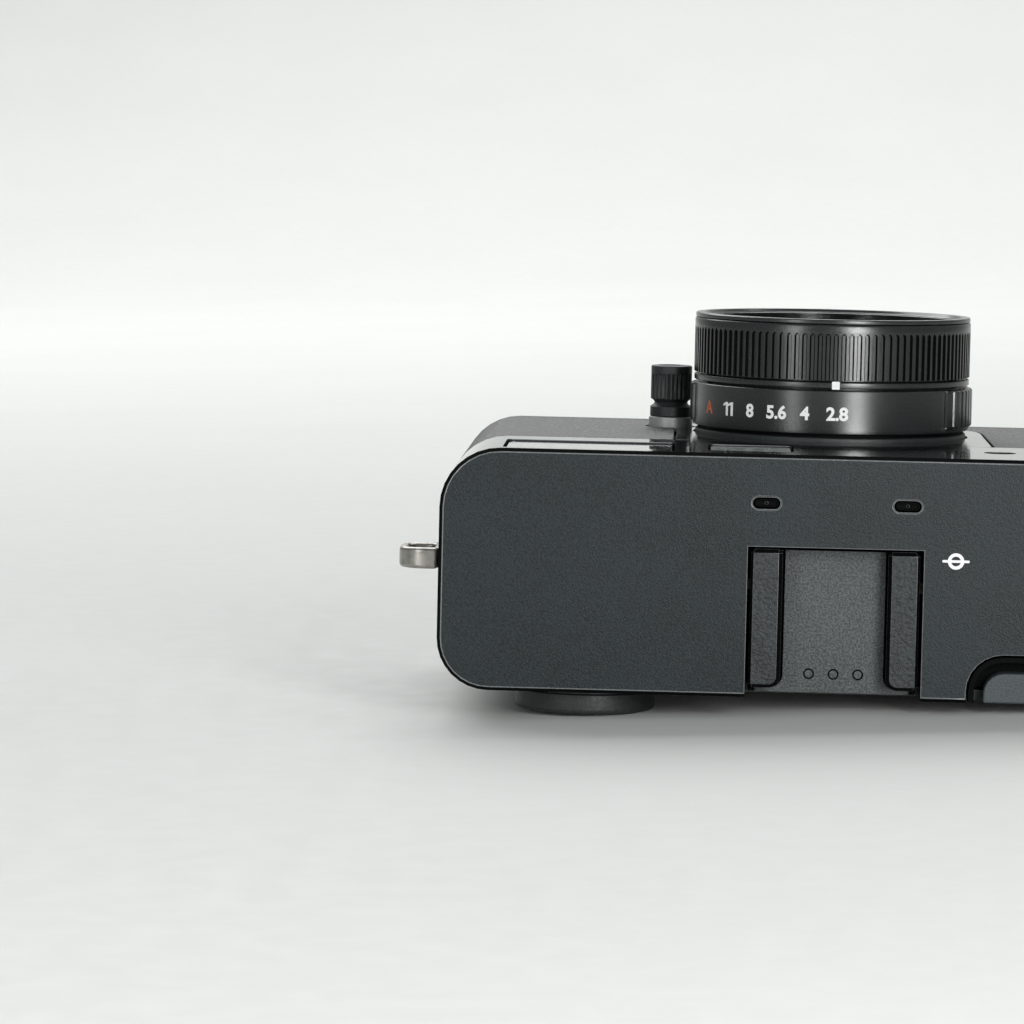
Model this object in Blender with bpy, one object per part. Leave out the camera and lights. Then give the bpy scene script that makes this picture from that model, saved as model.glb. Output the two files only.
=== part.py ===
"""Compact half-frame style camera, lying on its back with the lens up.

Every size is in millimetres and is turned into metres by point().  Places on the camera are given
as x (across, from the middle of the body), u (down from the top plate) and d (forward from the
back plane).  In the world, u runs along +Y and d runs along +Z, and the origin is at the middle of
the bounding box, on the plane that the eyepiece rim rests on.
"""
import math

import bmesh
import bpy
from mathutils import Vector

MM = 0.001
GAP = 0.3            # clearance between neighbouring pieces

# Body
BODY_W = 105.8
BODY_H = 61.5        # top plate to base
BODY_T = 28.2        # back plane to front plane
FRONT_R = 7.0        # corner radius, front edges of the sides
REAR_R = 6.0         # corner radius, rear edges of the sides
WALL = 1.2
EDGE = 0.45          # chamfer round the top plate and the base
SKIN = 0.6           # thickness of the leatherette and of the smooth lens panel
CONTROL_H = 2.8      # tallest control above the top plate
COVER_H = 21.6       # depth of the top cover's skirt at the front and the sides
SKIRT_H = 3.0        # depth of the top cover's skirt at the back
TOP_WALL = 1.4
SPLIT_D = 9.0        # where the rear shell meets the front shell
BASE_T = 1.9

# Lens, heights measured forward from the front plane
LENS_X = -7.0
LENS_U = 40.2
LENS_L = 14.7
RING_R = 16.9
PLINTH_R = 16.6
PLINTH_H = 0.55
APERTURE_H = (0.95, 6.2)
INDEX_H = (6.5, 7.15)
FOCUS_H = (7.45, 14.1)
TUBE_H = 12.7        # top of the lens tube
TRIM_H = (13.0, LENS_L)
RING_BORE = 15.5
TUBE_R = 15.2
TUBE_FOOT_R = 13.5
TAB_PROUD = 0.4
TAB_START, TAB_END = 54.0, 100.0     # degrees round from the index, towards +X
PANEL_HALF = 18.85
PANEL_U = (21.9, 58.2)
PANEL_CORNER = 10.5
LENS_STEPS = 44      # facets round the lens parts

# Front knob, on a low round boss
KNOB_X, KNOB_U = -26.7, 47.6
KNOB_R, KNOB_H = 2.55, 7.6
KNOB_COLLAR_R = 2.75
KNOB_SHAFT_R = 1.0
BOSS_R, BOSS_H = 2.85, 1.2

# Windows in the front of the top cover, set back a little
WINDOW_SET = 0.2
WINDOW_T = 1.1
FLASH_X = (LENS_X - 14.7, LENS_X - 5.3)
FLASH_U = (4.9, 14.8)
AF_X, AF_U, AF_R = LENS_X + 19.2, 11.9, 1.6
AF_SET = 0.8         # middle of the focus lamp's lens behind the front plane

# Microphones, a pair on each side of the lens's middle line
MIC_X, MIC_D = 8.13, 22.55
MIC_HALF_LENGTH, MIC_R = 1.73, 0.8

# Strap lugs
LUG_U, LUG_D = 9.2, 14.7
LUG_T = 2.45
LUG_HALF = 4.2
LUG_TANG_HALF = 2.6
LUG_PROUD = 4.95
LUG_TIP_R = 3.0

# Viewfinder
FINDER_X = (-45.5, -26.2)
FINDER_U = (2.0, 15.6)
EYE_X, EYE_U = -35.8, 11.0
EYE_R = 8.25
EYE_E = 2.9          # eyepiece rim behind the back plane

# Accessory shoe
SHOE_HALF = 10.15
SHOE_D = 17.5
SHOE_U = 5.6
SHOE_GAP_HALF = 6.1  # half the opening between the rails
SHOE_FOOT_HALF = 9.25
SHOE_RAIL_T = 1.4

# Advance lever
LEVER_X, LEVER_D = 33.5, 7.0
LEVER_TIP_X = 10.4
LEVER_HUB_R = 3.8
LEVER_U = (0.3, 2.9)
LEVER_ARM_D = 3.5
WELL_X, WELL_D = 8.35, 5.63
WELL_CORNER = 4.3
WELL_HUB_R = 5.3

# Top controls
SHUTTER_X, SHUTTER_D = 31.0, 20.2
DIAL_X, DIAL_D, DIAL_R = 45.6, 10.0, 6.8

# Back
LCD_X = (-17.0, 22.0)
LCD_U = (6.5, 58.0)
SUB_X = (-41.0, -30.0)
SUB_U = (26.0, 52.0)

BUTTON_X, BUTTON_U, BUTTON_R = 37.5, (13.5, 21.0), 2.9
BUTTON_NAMES = ("playback_button", "display_button")
BUTTON_FLANGE = 0.7

# Sensor, boards and card
SENSOR_HALF = (5.2, 7.4)
BOARD_U = (23.5, 57.5)
BOARD_X = (-46.0, -23.0)
CARD_X, CARD_D, CARD_U = (23.5, 47.5), (2.2, 4.1), (25.6, 57.6)
CARD_SLEEVE = 0.7    # socket's outside beyond the card, across and through

# Power
BATTERY = (36.4, 47.1, 15.7)
BAY_X = (11.5, 50.1)
BAY_D = (5.2, 23.1)
DOOR_X = (20.5, 48.6)
DOOR_D = (3.6, 24.4)
HINGE_X = DOOR_X[0] + 1.0
HINGE_U = BODY_H - 0.95
HINGE_R = 0.95       # barrel of the battery door
PIN_R = 0.35
LATCH_X = (43.0, 46.5)
LATCH_D = (10.5, 17.5)
LATCH_TRAVEL = 1.5

# Tripod socket
SOCKET_X, SOCKET_D, SOCKET_R = LENS_X, 14.0, 5.2
SOCKET_TOP_U = 55.2
THREAD_R = 3.17

# Connector in the left side
PORT_U = (34.0, 50.0)
PORT_D = (11.5, 19.0)
PORT_T = 1.1

HALF_W = BODY_W / 2
PANEL_X = (LENS_X - PANEL_HALF, LENS_X + PANEL_HALF)
BASE_U = BODY_H - BASE_T
ORIGIN_U = (BODY_H + CONTROL_H) / 2 - CONTROL_H


# ---------------------------------------------------------------- geometry helpers

def point(x, u, d):
    return Vector((x, u - ORIGIN_U, d + EYE_E)) * MM


def place(plane, a, b, h):
    """A point of an outline drawn in a plane, at height h along the third direction."""
    if plane == "xd":
        return point(a, h, b)
    if plane == "xu":
        return point(a, b, h)
    return point(h, a, b)


def arc(ca, cb, r, start, end, steps):
    """Points on an arc, angles in degrees."""
    points = []
    for i in range(steps + 1):
        t = math.radians(start + (end - start) * i / steps)
        points.append((ca + r * math.cos(t), cb + r * math.sin(t)))
    return points


def circle(ca, cb, r, steps=48):
    return arc(ca, cb, r, 0, 360 - 360 / steps, steps - 1)


def rounded_rect(a0, a1, b0, b1, radii, steps=6):
    """Rectangle with rounded corners; radii at (a0,b0), (a1,b0), (a1,b1) and (a0,b1)."""
    r0, r1, r2, r3 = radii
    outline = arc(a0 + r0, b0 + r0, r0, 180, 270, steps)
    outline += arc(a1 - r1, b0 + r1, r1, 270, 360, steps)
    outline += arc(a1 - r2, b1 - r2, r2, 0, 90, steps)
    outline += arc(a0 + r3, b1 - r3, r3, 90, 180, steps)
    return outline


def rect(a0, a1, b0, b1, r=0.5):
    return rounded_rect(a0, a1, b0, b1, (r, r, r, r), 3)


def box_outline(a0, a1, b0, b1):
    return [(a0, b0), (a1, b0), (a1, b1), (a0, b1)]


def material(name, colour, roughness, metallic=0.0):
    mat = bpy.data.materials.get(name)
    if mat is None:
        mat = bpy.data.materials.new(name)
        mat.use_nodes = True
        shader = mat.node_tree.nodes["Principled BSDF"]
        shader.inputs["Base Color"].default_value = (*colour, 1.0)
        shader.inputs["Roughness"].default_value = roughness
        shader.inputs["Metallic"].default_value = metallic
    return mat


PAINT = material("black_paint", (0.022, 0.024, 0.027), 0.5)
PANEL = material("panel_black", (0.018, 0.019, 0.021), 0.3)
LEATHER = material("leatherette", (0.02, 0.02, 0.021), 0.65)
SHELL = material("shell_plastic", (0.02, 0.02, 0.021), 0.55)
RING = material("ring_black", (0.016, 0.017, 0.018), 0.35, 0.4)
DARK = material("matte_black", (0.008, 0.008, 0.009), 0.8)
GLASS = material("optical_glass", (0.05, 0.06, 0.07), 0.05)
SCREEN = material("screen_glass", (0.01, 0.01, 0.012), 0.08)
STEEL = material("gunmetal", (0.25, 0.24, 0.23), 0.35, 1.0)
BRASS = material("brass", (0.55, 0.42, 0.2), 0.35, 1.0)
SATIN = material("satin_aluminium", (0.6, 0.6, 0.6), 0.4, 1.0)
BOARD = material("circuit_board", (0.02, 0.12, 0.06), 0.5)
CELL = material("battery_case", (0.03, 0.03, 0.035), 0.45)


def finish_mesh(name, bm, mat, origin):
    """Turns a bmesh into an object whose origin is on its joint's axis, or at the world's."""
    bmesh.ops.remove_doubles(bm, verts=bm.verts, dist=1e-7)
    bmesh.ops.recalc_face_normals(bm, faces=bm.faces)
    base = point(*origin) if origin else Vector((0, 0, 0))
    bmesh.ops.translate(bm, verts=bm.verts, vec=-base)
    mesh = bpy.data.meshes.new(name)
    bm.to_mesh(mesh)
    bm.free()
    mesh.materials.append(mat)
    mesh.shade_smooth()
    mesh.set_sharp_from_angle(angle=math.radians(35))
    obj = bpy.data.objects.new(name, mesh)
    obj.location = base
    bpy.context.scene.collection.objects.link(obj)
    return obj


def loft(name, rings, mat, origin=None, closed=False):
    """Skin through rings of points; closed joins the last ring to the first, else both are capped."""
    bm = bmesh.new()
    loops = [[bm.verts.new(p) for p in ring] for ring in rings]
    count = len(loops[0])
    pairs = list(zip(loops, loops[1:]))
    if closed:
        pairs.append((loops[-1], loops[0]))
    for low, high in pairs:
        for i in range(count):
            j = (i + 1) % count
            bm.faces.new((low[i], low[j], high[j], high[i]))
    if not closed:
        bm.faces.new(loops[0])
        bm.faces.new(loops[-1])
    return finish_mesh(name, bm, mat, origin)


def prism(name, plane, outline, low, high, mat, origin=None):
    rings = [[place(plane, a, b, h) for a, b in outline] for h in (low, high)]
    return loft(name, rings, mat, origin)


def tube(name, plane, outer, inner, low, high, mat, origin=None):
    """Open-ended tube between two outlines with the same number of points."""
    sections = ((outer, low), (outer, high), (inner, high), (inner, low))
    rings = [[place(plane, a, b, h) for a, b in outline] for outline, h in sections]
    return loft(name, rings, mat, origin, closed=True)


def turned(name, plane, centre, profile, mat, origin=None, steps=LENS_STEPS):
    """Solid of revolution about the plane's third direction; profile is a closed (r, h) outline."""
    ca, cb = centre
    bm = bmesh.new()
    loops = []
    for r, h in profile:
        if r == 0:
            loops.append([bm.verts.new(place(plane, ca, cb, h))])
        else:
            ring = circle(ca, cb, r, steps)
            loops.append([bm.verts.new(place(plane, a, b, h)) for a, b in ring])
    pairs = list(zip(loops, loops[1:] + loops[:1]))
    for low, high in pairs:
        if len(low) == 1 and len(high) == 1:
            continue
        for i in range(steps):
            j = (i + 1) % steps
            if len(low) == 1:
                bm.faces.new((low[0], high[j], high[i]))
            elif len(high) == 1:
                bm.faces.new((low[i], low[j], high[0]))
            else:
                bm.faces.new((low[i], low[j], high[j], high[i]))
    return finish_mesh(name, bm, mat, origin)


def carve(obj, *cutters):
    """Cuts each cutter out of the object and removes the cutter."""
    for cutter in cutters:
        boolean = obj.modifiers.new("cut", "BOOLEAN")
        boolean.operation = "DIFFERENCE"
        boolean.solver = "EXACT"
        boolean.object = cutter
        bpy.context.view_layer.update()
        graph = bpy.context.evaluated_depsgraph_get()
        mesh = bpy.data.meshes.new_from_object(obj.evaluated_get(graph))
        obj.modifiers.remove(boolean)
        obj.data = mesh
        bpy.data.objects.remove(cutter)
    return obj


def bore(plane, centre, r, low, high, steps=24):
    return prism("cutter", plane, circle(*centre, r, steps), low, high, DARK)


def slab(x, u, d):
    """Box cutter between pairs of x, u and d."""
    return prism("cutter", "xd", box_outline(x[0], x[1], d[0], d[1]), u[0], u[1], DARK)


def grown(span, by):
    return (span[0] - by, span[1] + by)


# ---------------------------------------------------------------- outlines of the body

def body_outline(inset):
    front, rear = FRONT_R - inset, REAR_R - inset
    side = HALF_W - inset
    return rounded_rect(-side, side, inset, BODY_T - inset, (rear, rear, front, front), 8)


def front_wrap(side, x_start, d_end, inset):
    """From x_start on the front, round the front corner on one side, down to d_end."""
    r = FRONT_R - inset
    corner_x = side * (HALF_W - FRONT_R)
    corner_d = BODY_T - FRONT_R
    turn = arc(corner_x, corner_d, r, 90, 90 - side * 90, 8)
    return [(x_start, BODY_T - inset)] + turn + [(side * (HALF_W - inset), d_end)]


def rear_wrap(inset, d_end):
    """From d_end on the left side, round both rear corners, to d_end on the right side."""
    r = REAR_R - inset
    corner_x = HALF_W - REAR_R
    left = arc(-corner_x, REAR_R, r, 180, 270, 8)
    right = arc(corner_x, REAR_R, r, 270, 360, 8)
    edge = HALF_W - inset
    return [(-edge, d_end)] + left + right + [(edge, d_end)]


def well_outline(inset, rear_d):
    """Outline of the lever's recess in the top plate, open towards the back."""
    hub_r = WELL_HUB_R - inset
    corner = WELL_CORNER - inset
    far_d = WELL_D - inset
    meet = math.degrees(math.asin((far_d - LEVER_D) / hub_r))
    outline = [(WELL_X + inset, rear_d)]
    outline += arc(WELL_X + WELL_CORNER, WELL_D - WELL_CORNER, corner, 180, 90, 6)
    outline += arc(LEVER_X, LEVER_D, hub_r, 180 - meet, 0, 12)
    outline.append((LEVER_X + hub_r, rear_d))
    return outline


# ---------------------------------------------------------------- body

def make_top_cover():
    sections = (
        (0.0, EDGE), (EDGE, 0.0), (COVER_H, 0.0), (COVER_H, WALL), (TOP_WALL, WALL),
    )
    rings = [[place("xd", x, d, u) for x, d in body_outline(inset)] for u, inset in sections]
    cover = loft("top_cover", rings, PAINT)
    mouth = TOP_WALL + 1
    carve(
        cover,
        slab((-60, 60), (SKIRT_H, COVER_H + 2), (-2, SPLIT_D + GAP)),
        slab((LENS_X - SHOE_HALF, LENS_X + SHOE_HALF), (-1, mouth), (1.5, SHOE_D)),
        slab((LENS_X - SHOE_HALF, LENS_X + SHOE_HALF), (-1, SKIRT_H + 1), (-1, 2)),
        prism("cutter", "xd", well_outline(0.0, -1.0), -1, SKIRT_H + 1, DARK),
        bore("xd", (SHUTTER_X, SHUTTER_D), 1.9, -1, mouth),
        bore("xd", (DIAL_X, DIAL_D), 2.2, -1, mouth),
        bore("xu", (EYE_X, EYE_U), EYE_R - 0.9, -1, WALL + 1),
        bore("xu", (AF_X, AF_U), AF_R + GAP, BODY_T - 3, BODY_T + 1),
        window_cutter(FINDER_X, FINDER_U),
        window_cutter(FLASH_X, FLASH_U),
    )
    for side in (-1, 1):
        pill = pill_outline(LENS_X + side * MIC_X, MIC_D, MIC_HALF_LENGTH, MIC_R)
        carve(cover, prism("cutter", "xd", pill, -1, mouth, DARK))
        slot_u = grown((LUG_U - LUG_TANG_HALF, LUG_U + LUG_TANG_HALF), GAP)
        slot_d = grown((LUG_D - LUG_T / 2, LUG_D + LUG_T / 2), GAP)
        slot_x = sorted((side * (HALF_W - 3), side * (HALF_W + 1)))
        carve(cover, slab(slot_x, slot_u, slot_d))
    return cover


def window_cutter(x, u):
    outline = rect(*grown(x, GAP), *grown(u, GAP), 0.9)
    return prism("cutter", "xu", outline, BODY_T - 3, BODY_T + 1, DARK)


def pill_outline(x, d, half_length, r, steps=8):
    """Flat-sided slot with round ends, long along x."""
    left = arc(x - half_length + r, d, r, 90, 270, steps)
    right = arc(x + half_length - r, d, r, -90, 90, steps)
    return left + right


def make_front_shell():
    inset = SKIN + GAP
    outer = front_wrap(-1, 0, SPLIT_D + GAP, inset)[::-1] + front_wrap(1, 0, SPLIT_D + GAP, inset)[1:]
    deep = inset + WALL
    inner = front_wrap(1, 0, SPLIT_D + GAP, deep)[::-1] + front_wrap(-1, 0, SPLIT_D + GAP, deep)[1:]
    shell = prism("front_shell", "xd", outer + inner, COVER_H + GAP, BASE_U - GAP, SHELL)
    carve(
        shell,
        bore("xu", (LENS_X, LENS_U), TUBE_FOOT_R + GAP, 20, BODY_T + 1, LENS_STEPS),
        bore("xu", (KNOB_X, KNOB_U), KNOB_SHAFT_R + GAP, 20, BODY_T + 1),
        slab((-60, -40), grown(PORT_U, GAP), grown(PORT_D, GAP)),
    )
    return shell


def make_rear_shell():
    outline = rear_wrap(0.0, SPLIT_D) + rear_wrap(WALL, SPLIT_D)[::-1]
    shell = prism("rear_shell", "xd", outline, SKIRT_H + GAP, BASE_U - GAP, SHELL)
    carve(
        shell,
        slab((LENS_X - SHOE_HALF, LENS_X + SHOE_HALF), (0, SHOE_U), (-1, 2)),
        prism("cutter", "xu", rect(*grown(LCD_X, GAP), *grown(LCD_U, GAP), 1.3), -1, 2, DARK),
        prism("cutter", "xu", rect(*grown(SUB_X, GAP), *grown(SUB_U, GAP), 1.3), -1, 2, DARK),
        bore("xu", (EYE_X, EYE_U), EYE_R - 0.9, -1, 2),
    )
    for u in BUTTON_U:
        carve(shell, bore("xu", (BUTTON_X, u), BUTTON_R + GAP, -1, 2))
    return shell


def make_base_plate():
    sections = ((BASE_U, 0.0), (BODY_H - EDGE, 0.0), (BODY_H, EDGE))
    rings = [[place("xd", x, d, u) for x, d in body_outline(inset)] for u, inset in sections]
    base = loft("base_plate", rings, SHELL)
    door = rect(*grown(DOOR_X, GAP), *grown(DOOR_D, GAP), 0.4)
    pin_d = grown(DOOR_D, 1.6)
    carve(
        base,
        prism("cutter", "xd", door, BASE_U - 1, BODY_H + 1, DARK),
        bore("xd", (SOCKET_X, SOCKET_D), SOCKET_R + GAP, BASE_U - 1, BODY_H + 1),
        bore("xu", (HINGE_X, HINGE_U), PIN_R + GAP, *pin_d, 16),
    )
    return base


def panel_outline(grow):
    """Smooth panel round the lens, square at the top and round at its lower corners."""
    x, u = grown(PANEL_X, grow), grown(PANEL_U, grow)
    top, low = 0.5, PANEL_CORNER + grow
    return rounded_rect(*x, *u, (top, top, low, low), 6)


def make_leatherette():
    """The two grained skins, which meet below the lens panel and run round each side."""
    for side, name in ((-1, "leatherette_left"), (1, "leatherette_right")):
        start = LENS_X + side * GAP / 2
        outer = front_wrap(side, start, SPLIT_D + GAP, 0.0)
        inner = front_wrap(side, start, SPLIT_D + GAP, SKIN)[::-1]
        skin = prism(name, "xd", outer + inner, COVER_H + GAP, BASE_U - GAP, LEATHER)
        opening = panel_outline(GAP)
        opening[:14] = [(PANEL_X[0] - GAP, 10.0), (PANEL_X[1] + GAP, 10.0)]
        carve(skin, prism("cutter", "xu", opening, 20, BODY_T + 1, DARK))
        if side < 0:
            carve(
                skin,
                bore("xu", (KNOB_X, KNOB_U), BOSS_R + GAP, 20, BODY_T + 1),
                slab((-60, -40), grown(PORT_U, GAP), grown(PORT_D, GAP)),
            )


def make_lens_panel():
    panel = prism("lens_panel", "xu", panel_outline(0.0), BODY_T - SKIN, BODY_T, PANEL)
    carve(
        panel,
        bore("xu", (LENS_X, LENS_U), PLINTH_R + GAP, 20, BODY_T + 1, LENS_STEPS),
        bore("xu", (KNOB_X, KNOB_U), BOSS_R + GAP, 20, BODY_T + 1),
    )
    return panel


# ---------------------------------------------------------------- lens

def lens_turned(name, profile, mat, steps=LENS_STEPS, moving=False):
    """Turned lens part; heights in the profile are forward of the front plane."""
    raised = [(r, h + BODY_T) for r, h in profile]
    origin = (LENS_X, LENS_U, BODY_T) if moving else None
    return turned(name, "xu", (LENS_X, LENS_U), raised, mat, origin, steps)


def tab_outline(base_r, proud, steps):
    """Ring outline with two finger tabs, opposite each other."""
    outline = []
    for i in range(steps):
        theta = 360 * i / steps
        from_index = (theta + 90) % 180      # degrees round from the side that faces -Y
        r = base_r + (proud if TAB_START <= from_index <= TAB_END else 0.0)
        t = math.radians(theta)
        outline.append((LENS_X + r * math.cos(t), LENS_U + r * math.sin(t)))
    return outline


def make_lens():
    lens_turned("lens_plinth", [
        (TUBE_FOOT_R + GAP, -SKIN), (PLINTH_R, -SKIN), (PLINTH_R, PLINTH_H - 0.15),
        (PLINTH_R - 0.15, PLINTH_H), (TUBE_FOOT_R + GAP, PLINTH_H),
    ], PANEL)
    lens_turned("lens_tube", [
        (12.4, -16.0), (15.0, -16.0), (15.0, -14.6), (TUBE_FOOT_R, -14.6),
        (TUBE_FOOT_R, APERTURE_H[0]), (TUBE_R, APERTURE_H[0]), (TUBE_R, INDEX_H[0]),
        (RING_R - 0.15, INDEX_H[0]), (RING_R - 0.15, INDEX_H[1]), (TUBE_R, INDEX_H[1]),
        (TUBE_R, TUBE_H), (13.9, TUBE_H), (13.9, 8.0), (12.4, 8.0),
    ], RING)
    tab_steps = 72
    outer = tab_outline(RING_R, TAB_PROUD, tab_steps)
    inner = circle(LENS_X, LENS_U, RING_BORE, tab_steps)
    low, high = APERTURE_H
    ring = [(outer, low), (outer, high), (inner, high), (inner, low)]
    rings = [[place("xu", a, b, BODY_T + h) for a, b in outline] for outline, h in ring]
    loft("aperture_ring", rings, RING, (LENS_X, LENS_U, BODY_T), closed=True)
    lens_turned("focus_ring", [
        (RING_BORE, FOCUS_H[0]), (RING_R - 0.2, FOCUS_H[0]), (RING_R, FOCUS_H[0] + 0.2),
        (RING_R, FOCUS_H[1] - 0.2), (RING_R - 0.2, FOCUS_H[1]), (RING_BORE, FOCUS_H[1]),
    ], RING, moving=True)
    lens_turned("front_ring", [
        (13.9, TRIM_H[0]), (TUBE_R, TRIM_H[0]), (TUBE_R, FOCUS_H[1] + GAP),
        (RING_R - 0.2, FOCUS_H[1] + GAP), (RING_R - 0.3, TRIM_H[1]), (15.6, TRIM_H[1]),
        (15.3, TRIM_H[1] - 0.3), (14.6, TRIM_H[1] - 1.0),
    ], RING)
    lens_turned("lens_bezel", [
        (6.6, 9.2), (13.5, 9.2), (13.5, 13.4), (12.9, 13.4), (12.2, 12.2), (9.6, 11.6),
        (8.8, 10.6), (7.2, 10.2),
    ], DARK)
    lens_turned("lens_cell", [
        (7.0, -13.0), (12.1, -13.0), (12.1, 7.6), (10.0, 7.6), (9.6, 7.2), (7.0, 7.2),
    ], DARK, 32, moving=True)
    lens_turned("front_element", [
        (0, 4.6), (6.7, 4.6), (6.7, 6.2), (5.0, 6.75), (2.6, 7.1), (0, 7.2),
    ], GLASS, 32, moving=True)
    lens_turned("leaf_shutter", [
        (2.2, 0.0), (6.7, 0.0), (6.7, 1.4), (2.2, 1.4),
    ], STEEL, 24, moving=True)
    lens_turned("rear_element", [
        (0, -12.0), (4.0, -12.0), (6.7, -11.2), (6.7, -9.4), (0, -9.4),
    ], GLASS, 24, moving=True)


# ---------------------------------------------------------------- front details

def make_front_details():
    pane_front = BODY_T - WINDOW_SET
    pane_back = pane_front - WINDOW_T
    prism("finder_window", "xu", rect(*FINDER_X, *FINDER_U, 0.6), pane_back, pane_front, GLASS)
    prism("flash_window", "xu", rect(*FLASH_X, *FLASH_U, 0.6), pane_back, pane_front, SCREEN)
    lamp = rect(*grown(FLASH_X, -1.0), *grown(FLASH_U, -1.0), 0.4)
    prism("flash_led", "xu", lamp, pane_back - GAP - 2.0, pane_back - GAP, SATIN)
    crown = BODY_T - AF_SET
    turned("af_lamp_lens", "xu", (AF_X, AF_U), [
        (0, crown - 1.8), (AF_R, crown - 1.8), (AF_R, crown - 0.4), (AF_R * 0.5, crown - 0.1),
        (0, crown),
    ], GLASS, steps=24)
    for side, name in ((-1, "mic_insert_left"), (1, "mic_insert_right")):
        inset = GAP
        pill = pill_outline(LENS_X + side * MIC_X, MIC_D, MIC_HALF_LENGTH - inset, MIC_R - inset)
        prism(name, "xd", pill, 0.35, 2.2, DARK)
    turned("knob_boss", "xu", (KNOB_X, KNOB_U), [
        (KNOB_SHAFT_R + GAP, BODY_T - SKIN), (BOSS_R, BODY_T - SKIN), (BOSS_R, BODY_T + 0.7),
        (BOSS_R - 0.15, BODY_T + BOSS_H), (KNOB_SHAFT_R + GAP, BODY_T + BOSS_H),
    ], SATIN, steps=24)
    profile = [
        (0, -4.0), (KNOB_SHAFT_R, -4.0), (KNOB_SHAFT_R, BOSS_H + GAP),
        (KNOB_COLLAR_R, BOSS_H + GAP), (KNOB_COLLAR_R, 2.5),
        (2.25, 2.8), (2.15, 3.1), (2.3, 3.4),
        (KNOB_R, 3.6), (KNOB_R, KNOB_H - 0.2), (KNOB_R - 0.2, KNOB_H), (0, KNOB_H),
    ]
    raised = [(r, h + BODY_T) for r, h in profile]
    turned("front_knob", "xu", (KNOB_X, KNOB_U), raised, RING, (KNOB_X, KNOB_U, BODY_T), 24)


def make_lug(side, name):
    """Strap loop: a flat D with a slot, on a tang that passes through the side of the top cover."""
    wall = side * HALF_W
    root = side * (HALF_W - 2.4)
    shoulder = side * (HALF_W + GAP)
    tip = side * (HALF_W + LUG_PROUD)
    outline = [(root, LUG_U - LUG_TANG_HALF), (shoulder, LUG_U - LUG_TANG_HALF)]
    outline.append((shoulder, LUG_U - LUG_HALF))
    outline += [
        (tip - side * LUG_TIP_R * (1 - math.sin(math.radians(a))),
         LUG_U - LUG_HALF + LUG_TIP_R * (1 - math.cos(math.radians(a))))
        for a in range(0, 91, 15)
    ]
    outline += [(x, 2 * LUG_U - u) for x, u in outline[::-1]]
    lug = prism(name, "xu", outline, LUG_D - LUG_T / 2, LUG_D + LUG_T / 2, STEEL)
    eye_x = sorted((wall + side * 0.9, tip - side * 1.1))
    eye = rect(*eye_x, LUG_U - 2.6, LUG_U + 2.6, 0.8)
    carve(lug, prism("cutter", "xu", eye, 0, BODY_T, DARK))


# ---------------------------------------------------------------- viewfinder

def make_viewfinder():
    turned("eyepiece_ring", "xu", (EYE_X, EYE_U), [
        (6.3, -EYE_E + 0.6), (6.9, -EYE_E), (EYE_R - 0.4, -EYE_E), (EYE_R, -EYE_E + 0.4),
        (EYE_R, -GAP), (EYE_R - 1.2, -GAP), (EYE_R - 1.2, 2.9), (6.3, 2.9),
    ], DARK)
    turned("eyepiece_lens", "xu", (EYE_X, EYE_U), [
        (0, -1.6), (3.2, -1.4), (6.0, -0.8), (6.0, 1.2), (0, 1.2),
    ], GLASS, steps=24)
    shaft_x, shaft_u = (-44.0, -27.6), (3.6, 18.4)
    tube("finder_tunnel", "xu", rect(*shaft_x, *shaft_u, 1.0),
         rect(*grown(shaft_x, -0.8), *grown(shaft_u, -0.8), 0.5), 3.3, 26.6, DARK)
    turned("finder_objective", "xu", (EYE_X, EYE_U), [
        (0, 21.0), (6.3, 20.4), (6.3, 23.0), (0, 23.0),
    ], GLASS, steps=24)


# ---------------------------------------------------------------- accessory shoe and lever

def make_shoe():
    half = SHOE_HALF - 0.4
    top, rail_end = 0.35, 0.35 + SHOE_RAIL_T
    floor, bottom = 4.5, 5.3
    right = [
        (SHOE_GAP_HALF, top), (SHOE_GAP_HALF, rail_end), (SHOE_FOOT_HALF, rail_end),
        (SHOE_FOOT_HALF, floor),
    ]
    inner = [(-x, u) for x, u in right] + [(x, u) for x, u in right[::-1]]
    outer = [(half - 0.3, top), (half, top + 0.3), (half, bottom)]
    outer += [(-x, u) for x, u in outer[::-1]]
    outline = [(LENS_X + x, u) for x, u in inner + outer]
    shoe = prism("cold_shoe", "xu", outline, GAP, SHOE_D - GAP, PAINT)
    rail_start, corner = 1.1, 1.3
    entry = [(SHOE_HALF + 1, -1.0), (SHOE_HALF + 1, rail_start)]
    entry += arc(SHOE_GAP_HALF + corner, rail_start + corner, corner, 270, 180, 5)
    entry += [(-x, d) for x, d in entry[::-1]]
    entry = [(LENS_X + x, d) for x, d in entry]
    carve(shoe, prism("cutter", "xd", entry, -1, floor - 0.2, DARK))
    plate_half = SHOE_FOOT_HALF - GAP
    plate_x = (LENS_X - plate_half, LENS_X + plate_half)
    plate = prism("shoe_plate", "xd", rect(*plate_x, GAP, SHOE_D - 2 * GAP, 0.5), 3.9, 4.2, PAINT)
    for offset in (-2.7, 0.15, 3.0):
        carve(plate, bore("xd", (LENS_X + offset, 2.49), 0.55, 3.5, 4.05, 12))


def lever_outline():
    tip_r = 2.4
    arm_d = LEVER_ARM_D
    outline = [(LEVER_TIP_X, 0.0)]
    outline += arc(LEVER_TIP_X + tip_r, arm_d - tip_r, tip_r, 180, 90, 5)
    outline.append((LEVER_X - LEVER_HUB_R, arm_d))
    outline += arc(LEVER_X, LEVER_D, LEVER_HUB_R, 215, -60, 14)
    outline.append((30.5, 0.0))
    return outline


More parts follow.
